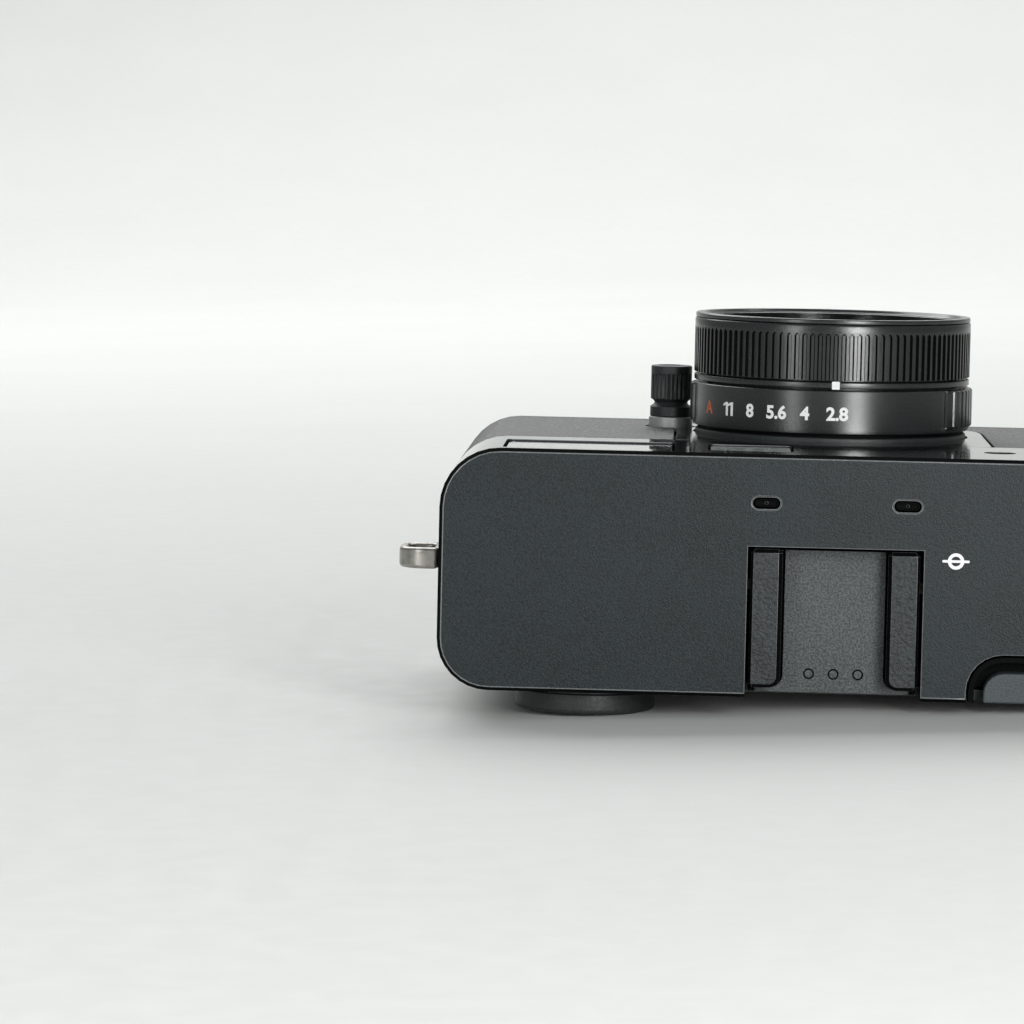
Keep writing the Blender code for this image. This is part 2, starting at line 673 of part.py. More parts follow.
def make_lever():
    origin = (LEVER_X, LEVER_U[0], LEVER_D)
    lever = prism("advance_lever", "xd", lever_outline(), *LEVER_U, PAINT, origin)
    carve(lever, bore("xd", (LEVER_X, LEVER_D), 1.9, -1, 5))
    turned("lever_shaft", "xd", (LEVER_X, LEVER_D), [
        (0, 0.3), (1.6, 0.3), (1.6, 8.0), (0, 8.0),
    ], STEEL, steps=24)
    floor = LEVER_U[1] + 0.4
    well = prism("lever_well", "xd", well_outline(GAP, 0.0), 0.9, floor + 0.8, PAINT)
    carve(
        well,
        prism("cutter", "xd", well_outline(1.0, -1.0), 0, floor, DARK),
        slab((0, 45), (SKIRT_H, 6), (-1, WALL + GAP)),
        bore("xd", (LEVER_X, LEVER_D), 1.9, 2, 6),
    )


# ---------------------------------------------------------------- top controls

def make_top_controls():
    origin = (SHUTTER_X, 0.0, SHUTTER_D)
    turned("shutter_button", "xd", (SHUTTER_X, SHUTTER_D), [
        (0, -CONTROL_H + 0.35), (2.6, -CONTROL_H + 0.1), (3.4, -CONTROL_H), (3.9, -CONTROL_H + 0.3),
        (3.9, -1.35), (1.5, -1.35), (1.5, 3.5), (0, 3.5),
    ], RING, origin, 28)
    outer, inner = [], []
    steps = 48
    for i in range(steps):
        theta = 2 * math.pi * i / steps
        swell = max(0.0, math.cos(theta - math.radians(120))) ** 14
        r = 6.4 + 2.6 * swell
        outer.append((SHUTTER_X + r * math.cos(theta), SHUTTER_D + r * math.sin(theta)))
        inner.append((SHUTTER_X + 4.3 * math.cos(theta), SHUTTER_D + 4.3 * math.sin(theta)))
    tube("power_collar", "xd", outer, inner, -1.7, -GAP, RING, origin)
    turned("exposure_dial", "xd", (DIAL_X, DIAL_D), [
        (0, -2.5), (DIAL_R - 0.5, -2.5), (DIAL_R, -2.1), (DIAL_R, -GAP), (1.8, -GAP), (1.8, 3.0),
        (0, 3.0),
    ], RING, (DIAL_X, 0.0, DIAL_D), 36)


# ---------------------------------------------------------------- back

def make_back():
    prism("lcd_glass", "xu", rect(*LCD_X, *LCD_U, 1.0), 0.0, 1.0, SCREEN)
    prism("lcd_module", "xu", rect(*grown(LCD_X, -1.2), *grown(LCD_U, -1.5), 0.5), 1.3, 3.4, CELL)
    prism("sub_display_glass", "xu", rect(*SUB_X, *SUB_U, 1.0), 0.0, 1.0, SCREEN)
    sub_x, sub_u = grown(SUB_X, -0.8), grown(SUB_U, -1.0)
    prism("sub_display_module", "xu", rect(*sub_x, *sub_u, 0.5), 1.3, 2.9, CELL)
    for name, u in zip(BUTTON_NAMES, BUTTON_U):
        turned(name, "xu", (BUTTON_X, u), [
            (0, -0.2), (BUTTON_R - 0.25, -0.2), (BUTTON_R, 0.0), (BUTTON_R, 1.5),
            (BUTTON_R + BUTTON_FLANGE, 1.5), (BUTTON_R + BUTTON_FLANGE, 2.1), (0, 2.1),
        ], RING, (BUTTON_X, u, 0.0), 24)


# ---------------------------------------------------------------- inside

def make_inside():
    half_x, half_u = SENSOR_HALF
    sensor_x = (LENS_X - half_x, LENS_X + half_x)
    sensor_u = (LENS_U - half_u, LENS_U + half_u)
    prism("image_sensor", "xu", rect(*sensor_x, *sensor_u, 0.4), 6.9, 8.3, SCREEN)
    board_x, board_u = grown(sensor_x, 5.0), grown(sensor_u, 4.5)
    prism("sensor_board", "xu", rect(*board_x, *board_u, 1.0), 5.6, 6.6, BOARD)
    plate_x, plate_u = (BOARD_X[0], BAY_X[0] - 0.9), (BOARD_U[0], 54.0)
    plate = prism("chassis_plate", "xu", rect(*plate_x, *plate_u, 2.0), 10.3, 11.6, STEEL)
    carve(plate, bore("xu", (LENS_X, LENS_U), 10.0, 5, 20))
    prism("main_board", "xu", rect(*BOARD_X, *BOARD_U, 1.0), 12.4, 13.4, BOARD)
    bay_u = (10.5, BASE_U - 1.0)
    tube("battery_box", "xd", rect(*BAY_X, *BAY_D, 1.0),
         rect(*grown(BAY_X, -0.8), *grown(BAY_D, -0.8), 0.5), *bay_u, SHELL)
    mid_x = sum(BAY_X) / 2
    mid_d = sum(BAY_D) / 2
    battery_x = (mid_x - BATTERY[0] / 2, mid_x + BATTERY[0] / 2)
    battery_d = (mid_d - BATTERY[2] / 2, mid_d + BATTERY[2] / 2)
    battery_u = (bay_u[1] - 0.8 - BATTERY[1], bay_u[1] - 0.8)
    prism("battery", "xd", rect(*battery_x, *battery_d, 1.5), *battery_u, CELL)
    sleeve_x, sleeve_d = grown(CARD_X, CARD_SLEEVE), grown(CARD_D, CARD_SLEEVE)
    sleeve_u = (CARD_U[0] + 1.4, CARD_U[1] + 0.4)
    tube("card_socket", "xd", rect(*sleeve_x, *sleeve_d, 0.3),
         rect(*grown(sleeve_x, -0.4), *grown(sleeve_d, -0.4), 0.2), *sleeve_u, STEEL)
    prism("memory_card", "xd", rect(*CARD_X, *CARD_D, 0.3), *CARD_U, CELL)


# ---------------------------------------------------------------- base

def make_base():
    origin = (HINGE_X, HINGE_U, sum(DOOR_D) / 2)
    barrel = arc(HINGE_X, HINGE_U, HINGE_R, 90, 270, 8)
    outline = barrel + [(DOOR_X[1], BASE_U), (DOOR_X[1], BODY_H)]
    door = prism("battery_door", "xu", outline, *DOOR_D, SHELL, origin)
    latch_slot = (LATCH_X[0] - LATCH_TRAVEL - GAP, LATCH_X[1] + GAP)
    carve(
        door,
        bore("xu", (HINGE_X, HINGE_U), PIN_R + 0.25, 0, BODY_T, 16),
        slab(latch_slot, (BODY_H - 1.0, BODY_H + 1), grown(LATCH_D, GAP)),
    )
    prism("door_hinge_pin", "xu", circle(HINGE_X, HINGE_U, PIN_R, 12),
          DOOR_D[0] - 1.4, DOOR_D[1] + 1.4, STEEL)
    mid_x, mid_d = sum(LATCH_X) / 2, sum(LATCH_D) / 2
    latch = prism("door_latch", "xd", rect(*LATCH_X, *LATCH_D, 0.5), BODY_H - 0.7, BODY_H - 0.05,
                  RING, (mid_x, BODY_H, mid_d))
    carve(latch, slab((mid_x - 0.4, mid_x + 0.4), (BODY_H - 0.3, BODY_H + 1), grown(LATCH_D, -1.2)))
    turned("tripod_socket", "xd", (SOCKET_X, SOCKET_D), [
        (THREAD_R, SOCKET_TOP_U), (SOCKET_R, SOCKET_TOP_U), (SOCKET_R, BODY_H),
        (THREAD_R, BODY_H),
    ], BRASS, steps=24)


# ---------------------------------------------------------------- connector

def make_port():
    """Cover over the connector in the left side, hinged along its edge nearest the base."""
    axis_x = -HALF_W + PORT_T / 2
    axis_u = PORT_U[1] - PORT_T / 2
    barrel = arc(axis_x, axis_u, PORT_T / 2, 0, 180, 8)
    outline = [(-HALF_W + PORT_T, PORT_U[0])] + barrel + [(-HALF_W, PORT_U[0])]
    prism("port_cover", "xu", outline, *PORT_D, SHELL, (axis_x, axis_u, sum(PORT_D) / 2))
    mid_u, mid_d = sum(PORT_U) / 2 - 1.0, sum(PORT_D) / 2
    outer = rounded_rect(mid_u - 4.5, mid_u + 4.5, mid_d - 1.6, mid_d + 1.6, (1.5,) * 4, 4)
    inner = rounded_rect(mid_u - 4.2, mid_u + 4.2, mid_d - 1.3, mid_d + 1.3, (1.2,) * 4, 4)
    tube("usb_socket", "ud", outer, inner, -HALF_W + 3.4, -HALF_W + 6.6, STEEL)


def clear_scene():
    for obj in list(bpy.data.objects):
        bpy.data.objects.remove(obj)


def main():
    clear_scene()
    make_top_cover()
    make_front_shell()
    make_rear_shell()
    make_base_plate()
    make_leatherette()
    make_lens_panel()
    make_lens()
    make_front_details()
    make_lug(-1, "strap_lug_left")
    make_lug(1, "strap_lug_right")
    make_viewfinder()
    make_shoe()
    make_lever()
    make_top_controls()
    make_back()
    make_inside()
    make_base()
    make_port()


main()
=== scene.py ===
"""Looks of the half-frame style compact camera, lying on its back with the lens up.

Places on the camera are given in millimetres as x (across), u (down from the top plate) and d
(forward from the back plane), and point() turns them into the frame's metres.  The datum planes
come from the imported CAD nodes.
"""
import math

import bmesh
import bpy
from mathutils import Matrix, Vector


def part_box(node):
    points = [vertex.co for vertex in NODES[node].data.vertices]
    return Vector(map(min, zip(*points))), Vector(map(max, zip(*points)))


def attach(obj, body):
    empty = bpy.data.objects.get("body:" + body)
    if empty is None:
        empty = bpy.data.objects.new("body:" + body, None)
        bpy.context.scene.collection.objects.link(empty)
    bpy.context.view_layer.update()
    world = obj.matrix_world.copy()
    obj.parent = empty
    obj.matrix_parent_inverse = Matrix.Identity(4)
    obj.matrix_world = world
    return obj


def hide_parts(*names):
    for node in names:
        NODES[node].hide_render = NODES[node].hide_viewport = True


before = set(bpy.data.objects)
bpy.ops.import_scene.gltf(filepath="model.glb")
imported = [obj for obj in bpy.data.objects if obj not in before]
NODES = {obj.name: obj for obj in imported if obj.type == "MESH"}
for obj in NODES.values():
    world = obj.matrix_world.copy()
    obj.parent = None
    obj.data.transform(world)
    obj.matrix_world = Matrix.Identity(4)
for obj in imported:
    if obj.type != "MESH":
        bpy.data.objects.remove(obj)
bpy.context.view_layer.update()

MM = 0.001
TOP_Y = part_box("top_cover")[0].y
FRONT_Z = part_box("top_cover")[1].z
BACK_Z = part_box("rear_shell")[0].z
BODY_T = (FRONT_Z - BACK_Z) / MM
HALF_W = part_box("top_cover")[1].x / MM


def point(x, u, d):
    return Vector((x * MM, TOP_Y + u * MM, BACK_Z + d * MM))


def middle(node):
    """Middle of a node's box as x, u and d in millimetres."""
    low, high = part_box(node)
    centre = (low + high) / 2
    return centre.x / MM, (centre.y - TOP_Y) / MM, (centre.z - BACK_Z) / MM


def spans(node):
    """Low and high x, u and d of a node in millimetres."""
    low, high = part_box(node)
    return (
        (low.x / MM, high.x / MM),
        ((low.y - TOP_Y) / MM, (high.y - TOP_Y) / MM),
        ((low.z - BACK_Z) / MM, (high.z - BACK_Z) / MM),
    )


LENS_X, LENS_U, _ = middle("focus_ring")
KNOB_X, KNOB_U, _ = middle("front_knob")


# ---------------------------------------------------------------- materials

class Shader:
    """Small builder for a Principled material driven by object-space textures."""

    def __init__(self, name):
        self.mat = bpy.data.materials.new(name)
        self.mat.use_nodes = True
        self.tree = self.mat.node_tree
        self.bsdf = self.tree.nodes["Principled BSDF"]
        self.coords = self.tree.nodes.new("ShaderNodeTexCoord")

    def node(self, kind, **values):
        made = self.tree.nodes.new(kind)
        for key, value in values.items():
            setattr(made, key, value)
        return made

    def link(self, output, socket):
        self.tree.links.new(output, socket)

    def mapped(self, scale):
        """Object coordinates stretched by scale along x, y and z."""
        mapping = self.node("ShaderNodeMapping")
        mapping.inputs["Scale"].default_value = scale
        self.link(self.coords.outputs["Object"], mapping.inputs["Vector"])
        return mapping.outputs["Vector"]

    def noise(self, scale, detail=3.0, rough=0.55, vector=None):
        tex = self.node("ShaderNodeTexNoise")
        tex.inputs["Scale"].default_value = scale
        tex.inputs["Detail"].default_value = detail
        tex.inputs["Roughness"].default_value = rough
        self.link(vector or self.coords.outputs["Object"], tex.inputs["Vector"])
        return tex.outputs["Fac"]

    def cells(self, scale, smooth, vector=None):
        tex = self.node("ShaderNodeTexVoronoi", feature="SMOOTH_F1")
        tex.inputs["Scale"].default_value = scale
        tex.inputs["Smoothness"].default_value = smooth
        self.link(vector or self.coords.outputs["Object"], tex.inputs["Vector"])
        return tex.outputs["Distance"]

    def ranged(self, value, low, high, to_low, to_high):
        ranged = self.node("ShaderNodeMapRange", interpolation_type="SMOOTHSTEP")
        self.link(value, ranged.inputs["Value"])
        for key, number in zip(("From Min", "From Max", "To Min", "To Max"),
                               (low, high, to_low, to_high)):
            ranged.inputs[key].default_value = number
        return ranged.outputs["Result"]

    def math(self, operation, a, b):
        made = self.node("ShaderNodeMath", operation=operation)
        for socket, value in zip(made.inputs, (a, b)):
            if isinstance(value, (int, float)):
                socket.default_value = value
            else:
                self.link(value, socket)
        return made.outputs[0]

    def mixed(self, factor, first, second):
        mix = self.node("ShaderNodeMix", data_type="RGBA")
        self.link(factor, mix.inputs["Factor"])
        for socket, value in ((mix.inputs[6], first), (mix.inputs[7], second)):
            if isinstance(value, tuple):
                socket.default_value = (*value, 1.0)
            else:
                self.link(value, socket)
        return mix.outputs[2]

    def edge(self, radius):
        """1 on an edge, 0 on a flat face."""
        bevel = self.node("ShaderNodeBevel", samples=4)
        bevel.inputs["Radius"].default_value = radius
        geometry = self.node("ShaderNodeNewGeometry")
        dot = self.node("ShaderNodeVectorMath", operation="DOT_PRODUCT")
        self.link(bevel.outputs["Normal"], dot.inputs[0])
        self.link(geometry.outputs["Normal"], dot.inputs[1])
        return self.ranged(dot.outputs["Value"], 0.995, 0.85, 0.0, 1.0)

    def colour(self, output):
        self.link(output, self.bsdf.inputs["Base Color"])

    def roughness(self, output):
        self.link(output, self.bsdf.inputs["Roughness"])

    def bump(self, height, strength, distance):
        bump = self.node("ShaderNodeBump")
        bump.inputs["Strength"].default_value = strength
        bump.inputs["Distance"].default_value = distance
        self.link(height, bump.inputs["Height"])
        self.link(bump.outputs["Normal"], self.bsdf.inputs["Normal"])

    def set(self, **values):
        for key, value in values.items():
            self.bsdf.inputs[key.replace("_", " ")].default_value = value


def coated(name, dark, light, rough, grain, depth, metallic=0.0, strength=0.6, worn=None,
           specular=0.5):
    """Paint, anodising or moulded plastic: fine grain, soft mottling and rubbed edges."""
    s = Shader(name)
    fine = s.noise(grain, 4.0, 0.6)
    broad = s.noise(90.0, 3.0)
    blotch = s.math("ADD", s.math("MULTIPLY", fine, 0.8), s.math("MULTIPLY", broad, 0.2))
    colour = s.mixed(s.ranged(blotch, 0.38, 0.62, 0.0, 1.0), dark, light)
    if worn:
        wear = s.math("MULTIPLY", s.edge(0.0002), s.ranged(s.noise(420.0), 0.45, 0.75, 0.0, 0.55))
        colour = s.mixed(wear, colour, worn)
    s.colour(colour)
    s.roughness(s.ranged(blotch, 0.3, 0.7, *rough))
    s.bump(fine, strength, depth)
    s.set(Metallic=metallic, Specular_IOR_Level=specular)
    return s.mat


def leather(name):
    """Moulded leather-grain skin: rounded pebbles parted by creases, which are painted darker as shade."""
    s = Shader(name)
    warp = s.noise(700.0, 2.0)
    stretched = s.mapped((1.0, 1.12, 0.9))
    cell = s.cells(1350.0, 0.35, stretched)
    small = s.cells(2900.0, 0.3)
    pebble_and_crease_shade = s.ranged(cell, 0.05, 0.62, 1.0, 0.0)
    height = s.math("ADD", s.math("MULTIPLY", pebble_and_crease_shade, 0.75), s.math("MULTIPLY", small, -0.35))
    height = s.math("ADD", height, s.math("MULTIPLY", warp, 0.25))
    # Painted shade: the creases between the pebbles are darker and the pebble tops lighter.
    s.colour(s.mixed(pebble_and_crease_shade, (0.007, 0.008, 0.008), (0.026, 0.028, 0.028)))
    s.roughness(s.ranged(height, 0.1, 0.8, 0.58, 0.36))
    s.bump(height, 1.0, 0.00022)
    s.set(Specular_IOR_Level=0.75)
    return s.mat


def brushed(name, dark, light, rough, stretch, metallic=1.0):
    """Bare metal with fine drawn lines and faint stains."""
    s = Shader(name)
    lines = s.noise(900.0, 4.0, 0.6, s.mapped(stretch))
    stain = s.noise(260.0, 3.0)
    blend = s.math("ADD", s.math("MULTIPLY", lines, 0.6), s.math("MULTIPLY", stain, 0.4))
    s.colour(s.mixed(s.ranged(blend, 0.35, 0.65, 0.0, 1.0), dark, light))
    s.roughness(s.ranged(blend, 0.3, 0.7, *rough))
    s.bump(lines, 0.25, 0.00003)
    s.set(Metallic=metallic)
    return s.mat


def clear_glass(name, tint, coat):
    s = Shader(name)
    s.roughness(s.ranged(s.noise(180.0), 0.4, 0.8, 0.0, 0.03))
    s.colour(s.mixed(s.noise(25.0), tint, tuple(0.96 * v for v in tint)))
    s.bump(s.noise(60.0), 0.02, 0.00002)
    s.set(Transmission_Weight=1.0, IOR=1.52, Coat_Weight=coat, Coat_Roughness=0.02)
    return s.mat


def coated_lens(name):
    """Dark multicoated glass: the coating's colour shifts towards the rim."""
    s = Shader(name)
    facing = s.node("ShaderNodeLayerWeight")
    facing.inputs["Blend"].default_value = 0.35
    inner = s.mixed(s.noise(120.0), (0.006, 0.010, 0.016), (0.010, 0.006, 0.016))
    s.colour(s.mixed(facing.outputs["Facing"], inner, (0.020, 0.035, 0.030)))
    s.roughness(s.ranged(s.noise(300.0), 0.4, 0.8, 0.01, 0.05))
    s.set(Coat_Weight=1.0, Coat_Roughness=0.01, Coat_Tint=(0.75, 0.9, 1.0, 1.0), IOR=1.7)
    return s.mat


def screen(name, node, border):
    """Cover glass over a dark display, whose active area is a little lighter than its border."""
    s = Shader(name)
    low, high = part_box(node)
    xyz = s.node("ShaderNodeSeparateXYZ")
    s.link(s.coords.outputs["Object"], xyz.inputs[0])
    inside = None
    for axis, (a, b) in enumerate(((low.x, high.x), (low.y, high.y))):
        centre, half = (a + b) / 2, (b - a) / 2 - border * MM
        away = s.math("ABSOLUTE", s.math("SUBTRACT", xyz.outputs[axis], centre), 0.0)
        part = s.ranged(away, half, half - 0.00008, 0.0, 1.0)
        inside = part if inside is None else s.math("MULTIPLY", inside, part)
    panel = s.mixed(s.noise(40.0), (0.010, 0.011, 0.014), (0.016, 0.017, 0.020))
    s.colour(s.mixed(inside, (0.003, 0.003, 0.0035), panel))
    s.roughness(s.ranged(s.noise(150.0), 0.35, 0.8, 0.03, 0.09))
    s.bump(s.noise(50.0), 0.02, 0.00002)
    s.set(Coat_Weight=0.6, Coat_Roughness=0.02)
    return s.mat


def ink(name, colour):
    """Filled paint in markings, a little uneven."""
    s = Shader(name)
    s.colour(s.mixed(s.noise(3000.0), colour, tuple(0.86 * v for v in colour)))
    s.roughness(s.ranged(s.noise(2500.0), 0.3, 0.7, 0.4, 0.6))
    s.bump(s.noise(5000.0), 0.2, 0.00001)
    return s.mat


def board(name):
    """Circuit board: solder mask with paler tracks."""
    s = Shader(name)
    tracks = s.noise(900.0, 1.0, 0.3, s.mapped((1.0, 0.12, 1.0)))
    track = s.ranged(tracks, 0.5, 0.56, 0.0, 1.0)
    s.colour(s.mixed(track, (0.010, 0.055, 0.030), (0.03, 0.13, 0.06)))
    s.roughness(s.ranged(s.noise(500.0), 0.3, 0.7, 0.35, 0.5))
    s.bump(tracks, 0.4, 0.00004)
    return s.mat


PAINT = coated("top_paint_fine", (0.0022, 0.0052, 0.0064), (0.0120, 0.0205, 0.0235), (0.34, 0.46),
               5200.0, 0.00006, strength=0.8, specular=0.36)
STRIP = coated("top_paint_side", (0.0090, 0.0110, 0.0120), (0.0130, 0.0155, 0.0165), (0.05, 0.11),
               5200.0, 0.00001, strength=0.2, specular=0.9)
# Near-black paint, used mostly as painted shade: the top plate's chamfer and the walls of its hollows, the
# focus ring's channels, the shoe rails' slopes and sides, the dimple grooves and the lever well.
BLACK_AND_SHADE = coated("black_and_painted_shade", (0.0010, 0.0012, 0.0012), (0.0018, 0.0021, 0.0022), (0.50, 0.65),
              4200.0, 0.00002, specular=0.06)
# Light paint standing for a highlight: on the top plate's rounded rim and on the thin rings round the
# microphones.
RIM_HIGHLIGHT = coated("painted_rim_highlight", (0.130, 0.140, 0.142), (0.190, 0.200, 0.202), (0.18, 0.26), 5200.0,
             0.00001, strength=0.2, specular=1.0)
LEVER_PAINT = coated("lever_paint_fine", (0.020, 0.029, 0.031), (0.056, 0.070, 0.073), (0.38, 0.52),
                     5200.0, 0.00006, strength=0.8, worn=(0.16, 0.17, 0.17))
SHOE_PAINT = coated("shoe_paint_plate", (0.024, 0.030, 0.030), (0.106, 0.121, 0.121), (0.40, 0.58),
                    4200.0, 0.00010, strength=0.9, worn=(0.16, 0.17, 0.17))
# Light paint standing for the highlight on the rails' fine rims.
RAIL_RIM_HIGHLIGHT = coated("shoe_rim_painted_highlight", (0.030, 0.036, 0.037), (0.060, 0.068, 0.069), (0.24, 0.34), 5200.0,
                   0.00002, strength=0.3, specular=0.9)
RAIL_PAINT = coated("shoe_paint_rail", (0.0015, 0.0030, 0.0040), (0.024, 0.032, 0.034), (0.34, 0.50),
                    2600.0, 0.00018, strength=0.9)
PANEL = coated("panel_gloss", (0.0090, 0.0105, 0.0105), (0.0130, 0.0150, 0.0150), (0.07, 0.14), 5200.0,
               0.00001, strength=0.2, worn=(0.04, 0.04, 0.04), specular=0.9)
SHELL = coated("shell_satin", (0.011, 0.014, 0.015), (0.021, 0.025, 0.026), (0.38, 0.52), 3400.0,
               0.00008, worn=(0.05, 0.055, 0.055))
RING = coated("ring_anodised", (0.0070, 0.0095, 0.0092), (0.0130, 0.0165, 0.0160), (0.20, 0.28), 6500.0,
              0.00002, metallic=0.25, strength=0.4, worn=(0.09, 0.10, 0.095), specular=1.0)
DARK = coated("matte_black_fine", (0.0045, 0.0055, 0.0055), (0.0100, 0.0115, 0.0115), (0.55, 0.75), 2600.0,
              0.00004)
RUBBER = coated("eyecup_rubber", (0.0090, 0.0115, 0.0115), (0.0180, 0.0215, 0.0215), (0.40, 0.56), 3000.0,
                0.00006)
LEATHER = leather("leatherette_grain")
GUNMETAL = brushed("gunmetal_brushed", (0.22, 0.21, 0.19), (0.42, 0.40, 0.37), (0.22, 0.38), (1, 0.15, 1))
BRASS = brushed("brass_threads", (0.42, 0.31, 0.14), (0.62, 0.48, 0.25), (0.28, 0.45), (1, 1, 0.2))
SATIN = brushed("satin_metal_turned", (0.34, 0.35, 0.34), (0.46, 0.47, 0.46), (0.42, 0.54), (1, 1, 0.15),
                0.5)
GLASS = clear_glass("window_glass", (0.93, 0.96, 0.97), 0.3)
LENS_GLASS = coated_lens("lens_coated_glass")
FLASH_GLASS = coated("flash_diffuser", (0.17, 0.185, 0.18), (0.24, 0.26, 0.255), (0.16, 0.26), 900.0,
                     0.00005)
BOARD = board("board_mask")
CELL = coated("cell_case_print", (0.020, 0.021, 0.024), (0.034, 0.035, 0.040), (0.40, 0.55), 2000.0,
              0.00003)
LCD = screen("lcd_cover_glass", "lcd_glass", 2.2)
SUB = screen("sub_cover_glass", "sub_display_glass", 1.3)
WHITE = ink("marking_white", (0.95, 0.96, 0.96))
ORANGE = ink("marking_orange", (0.62, 0.13, 0.05))


# ---------------------------------------------------------------- meshes

def made_piece(name, bm, mat, body, replaces=(), smooth=35.0, bevel=None):
    """Object from a bmesh; bevel is (width in mm, segments)."""
    bmesh.ops.recalc_face_normals(bm, faces=bm.faces)
    mesh = bpy.data.meshes.new(name)
    bm.to_mesh(mesh)
    bm.free()
    mesh.materials.append(mat)
    mesh.shade_smooth()
    mesh.set_sharp_from_angle(angle=math.radians(smooth))
    obj = bpy.data.objects.new(name, mesh)
    bpy.context.scene.collection.objects.link(obj)
    if bevel:
        add_bevel(obj, *bevel)
    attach(obj, body)
    if replaces:
        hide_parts(*replaces)
    return obj


def add_bevel(obj, width, segments, angle=32.0):
    modifier = obj.modifiers.new("edges", "BEVEL")
    modifier.width = width * MM
    modifier.segments = segments
    modifier.limit_method = "ANGLE"
    modifier.angle_limit = math.radians(angle)
    modifier.harden_normals = True
    modifier.miter_outer = "MITER_ARC"


def refined(node, mat, body, width, segments=3, clamp=True):
    """The CAD node's own shape with its triangles merged into faces and its edges rounded."""
    bm = bmesh.new()
    bm.from_mesh(NODES[node].data)
    bmesh.ops.remove_doubles(bm, verts=bm.verts, dist=2e-6)
    bmesh.ops.dissolve_limit(bm, angle_limit=math.radians(0.6), verts=bm.verts, edges=bm.edges)
    piece = made_piece(node + "_finished", bm, mat, body, (node,), bevel=(width, segments))
    piece.modifiers["edges"].use_clamp_overlap = clamp
    even = piece.modifiers.new("even", "WEIGHTED_NORMAL")
    even.keep_sharp = True
    return piece


def rounded(profile, radius, steps=4):
    """Closed (r, h) outline with its corners rounded where there is room."""
    points = []
    count = len(profile)
    for i, corner in enumerate(profile):
        before, after = Vector(profile[i - 1]), Vector(profile[(i + 1) % count])
        here = Vector(corner)
        back, ahead = before - here, after - here
        cut = min(radius, back.length * 0.45, ahead.length * 0.45)
        start, end = here + back.normalized() * cut, here + ahead.normalized() * cut
        for k in range(steps + 1):
            t = k / steps
            points.append(tuple(start * (1 - t) ** 2 + here * 2 * t * (1 - t) + end * t * t))
    return points


def axis_point(axis, r, angle, h):
    """Point about an axis given as (plane, a, b); angle in degrees from -Y round towards +X."""
    plane, a, b = axis
    t = math.radians(angle)
    if plane == "xu":
        return point(a + r * math.sin(t), b - r * math.cos(t), h)
    return point(a + r * math.sin(t), h, b - r * math.cos(t))


def bridge(bm, loops):
    """Faces between each closed loop of vertices and the next one."""
    for low, high in zip(loops, loops[1:]):
        for i in range(len(low)):
            j = (i + 1) % len(low)
            bm.faces.new((low[i], low[j], high[j], high[i]))


def grid_turned(axis, columns, rows):
    """Closed ring from rows of (radius for each column angle, height)."""
    bm = bmesh.new()
    loops = []
    for radii, h in rows:
        loops.append([bm.verts.new(axis_point(axis, r, a, h)) for r, a in zip(radii, columns)])
    bridge(bm, loops + loops[:1])
    return bm


def lathe(axis, profile, steps=160):
    """Solid of revolution from a closed (r, h) outline; points on the axis close the ends."""
    bm = bmesh.new()
    loops = []
    for r, h in profile:
        if r < 1e-6:
            loops.append([bm.verts.new(axis_point(axis, 0.0, 0.0, h))])
        else:
            loops.append([bm.verts.new(axis_point(axis, r, 360 * i / steps, h)) for i in range(steps)])
    for low, high in zip(loops, loops[1:] + loops[:1]):
        if len(low) == 1 and len(high) == 1:
            continue
        for i in range(steps):
            j = (i + 1) % steps
            if len(low) == 1:
                bm.faces.new((low[0], high[j], high[i]))
            elif len(high) == 1:
                bm.faces.new((low[i], low[j], high[0]))
            else:
                bm.faces.new((low[i], low[j], high[j], high[i]))
    return bm


def open_profile(profile, radius, steps=4):
    """Rounds the corners of an outline that starts and ends on the axis."""
    inner = rounded(profile, radius, steps)[steps + 1:-(steps + 1)]
    return [profile[0]] + inner + [profile[-1]]


def spun(name, axis, profile, mat, body, replaces=(), radius=0.08, steps=160, smooth=35.0):
    on_axis = profile[0][0] < 1e-6
    outline = open_profile(profile, radius) if on_axis else rounded(profile, radius)
    return made_piece(name, lathe(axis, outline, steps), mat, body, replaces, smooth)


def domed(r, base, rim, rise, steps):
    """Outline of a disc, flat at base and domed from rim to rim + rise."""
    outline = [(0.0, base), (r, base), (r, rim)]
    for k in range(1, steps):
        t = k / steps
        outline.append((r * (1 - t), rim + rise * (1 - (1 - t) ** 2)))
    outline.append((0.0, rim + rise))
    return outline


def prism(outline, place, low, high):
    """Solid between two heights from an outline of 2-D points and a function placing (a, b, h)."""
    bm = bmesh.new()
    loops = [[bm.verts.new(place(a, b, h)) for a, b in outline] for h in (low, high)]
    bridge(bm, loops)
    bm.faces.new(loops[0][::-1])
    bm.faces.new(loops[1])
    return bm


def on_top(a, b, h):
    return point(a, h, b)


def arc(ca, cb, r, start, end, steps):
    turns = [math.radians(start + (end - start) * i / steps) for i in range(steps + 1)]
    return [(ca + r * math.cos(t), cb + r * math.sin(t)) for t in turns]


def rounded_rect(a, b, r, steps=6):
    outline = arc(a[0] + r, b[0] + r, r, 180, 270, steps)
    outline += arc(a[1] - r, b[0] + r, r, 270, 360, steps)
    outline += arc(a[1] - r, b[1] - r, r, 0, 90, steps)
    return outline + arc(a[0] + r, b[1] - r, r, 90, 180, steps)


def pill(x, d, half_length, r, steps=12):
    return arc(x - half_length + r, d, r, 90, 270, steps) + arc(x + half_length - r, d, r, -90, 90, steps)


FIGURE_THICK, FIGURE_PROUD = 0.015, 0.006


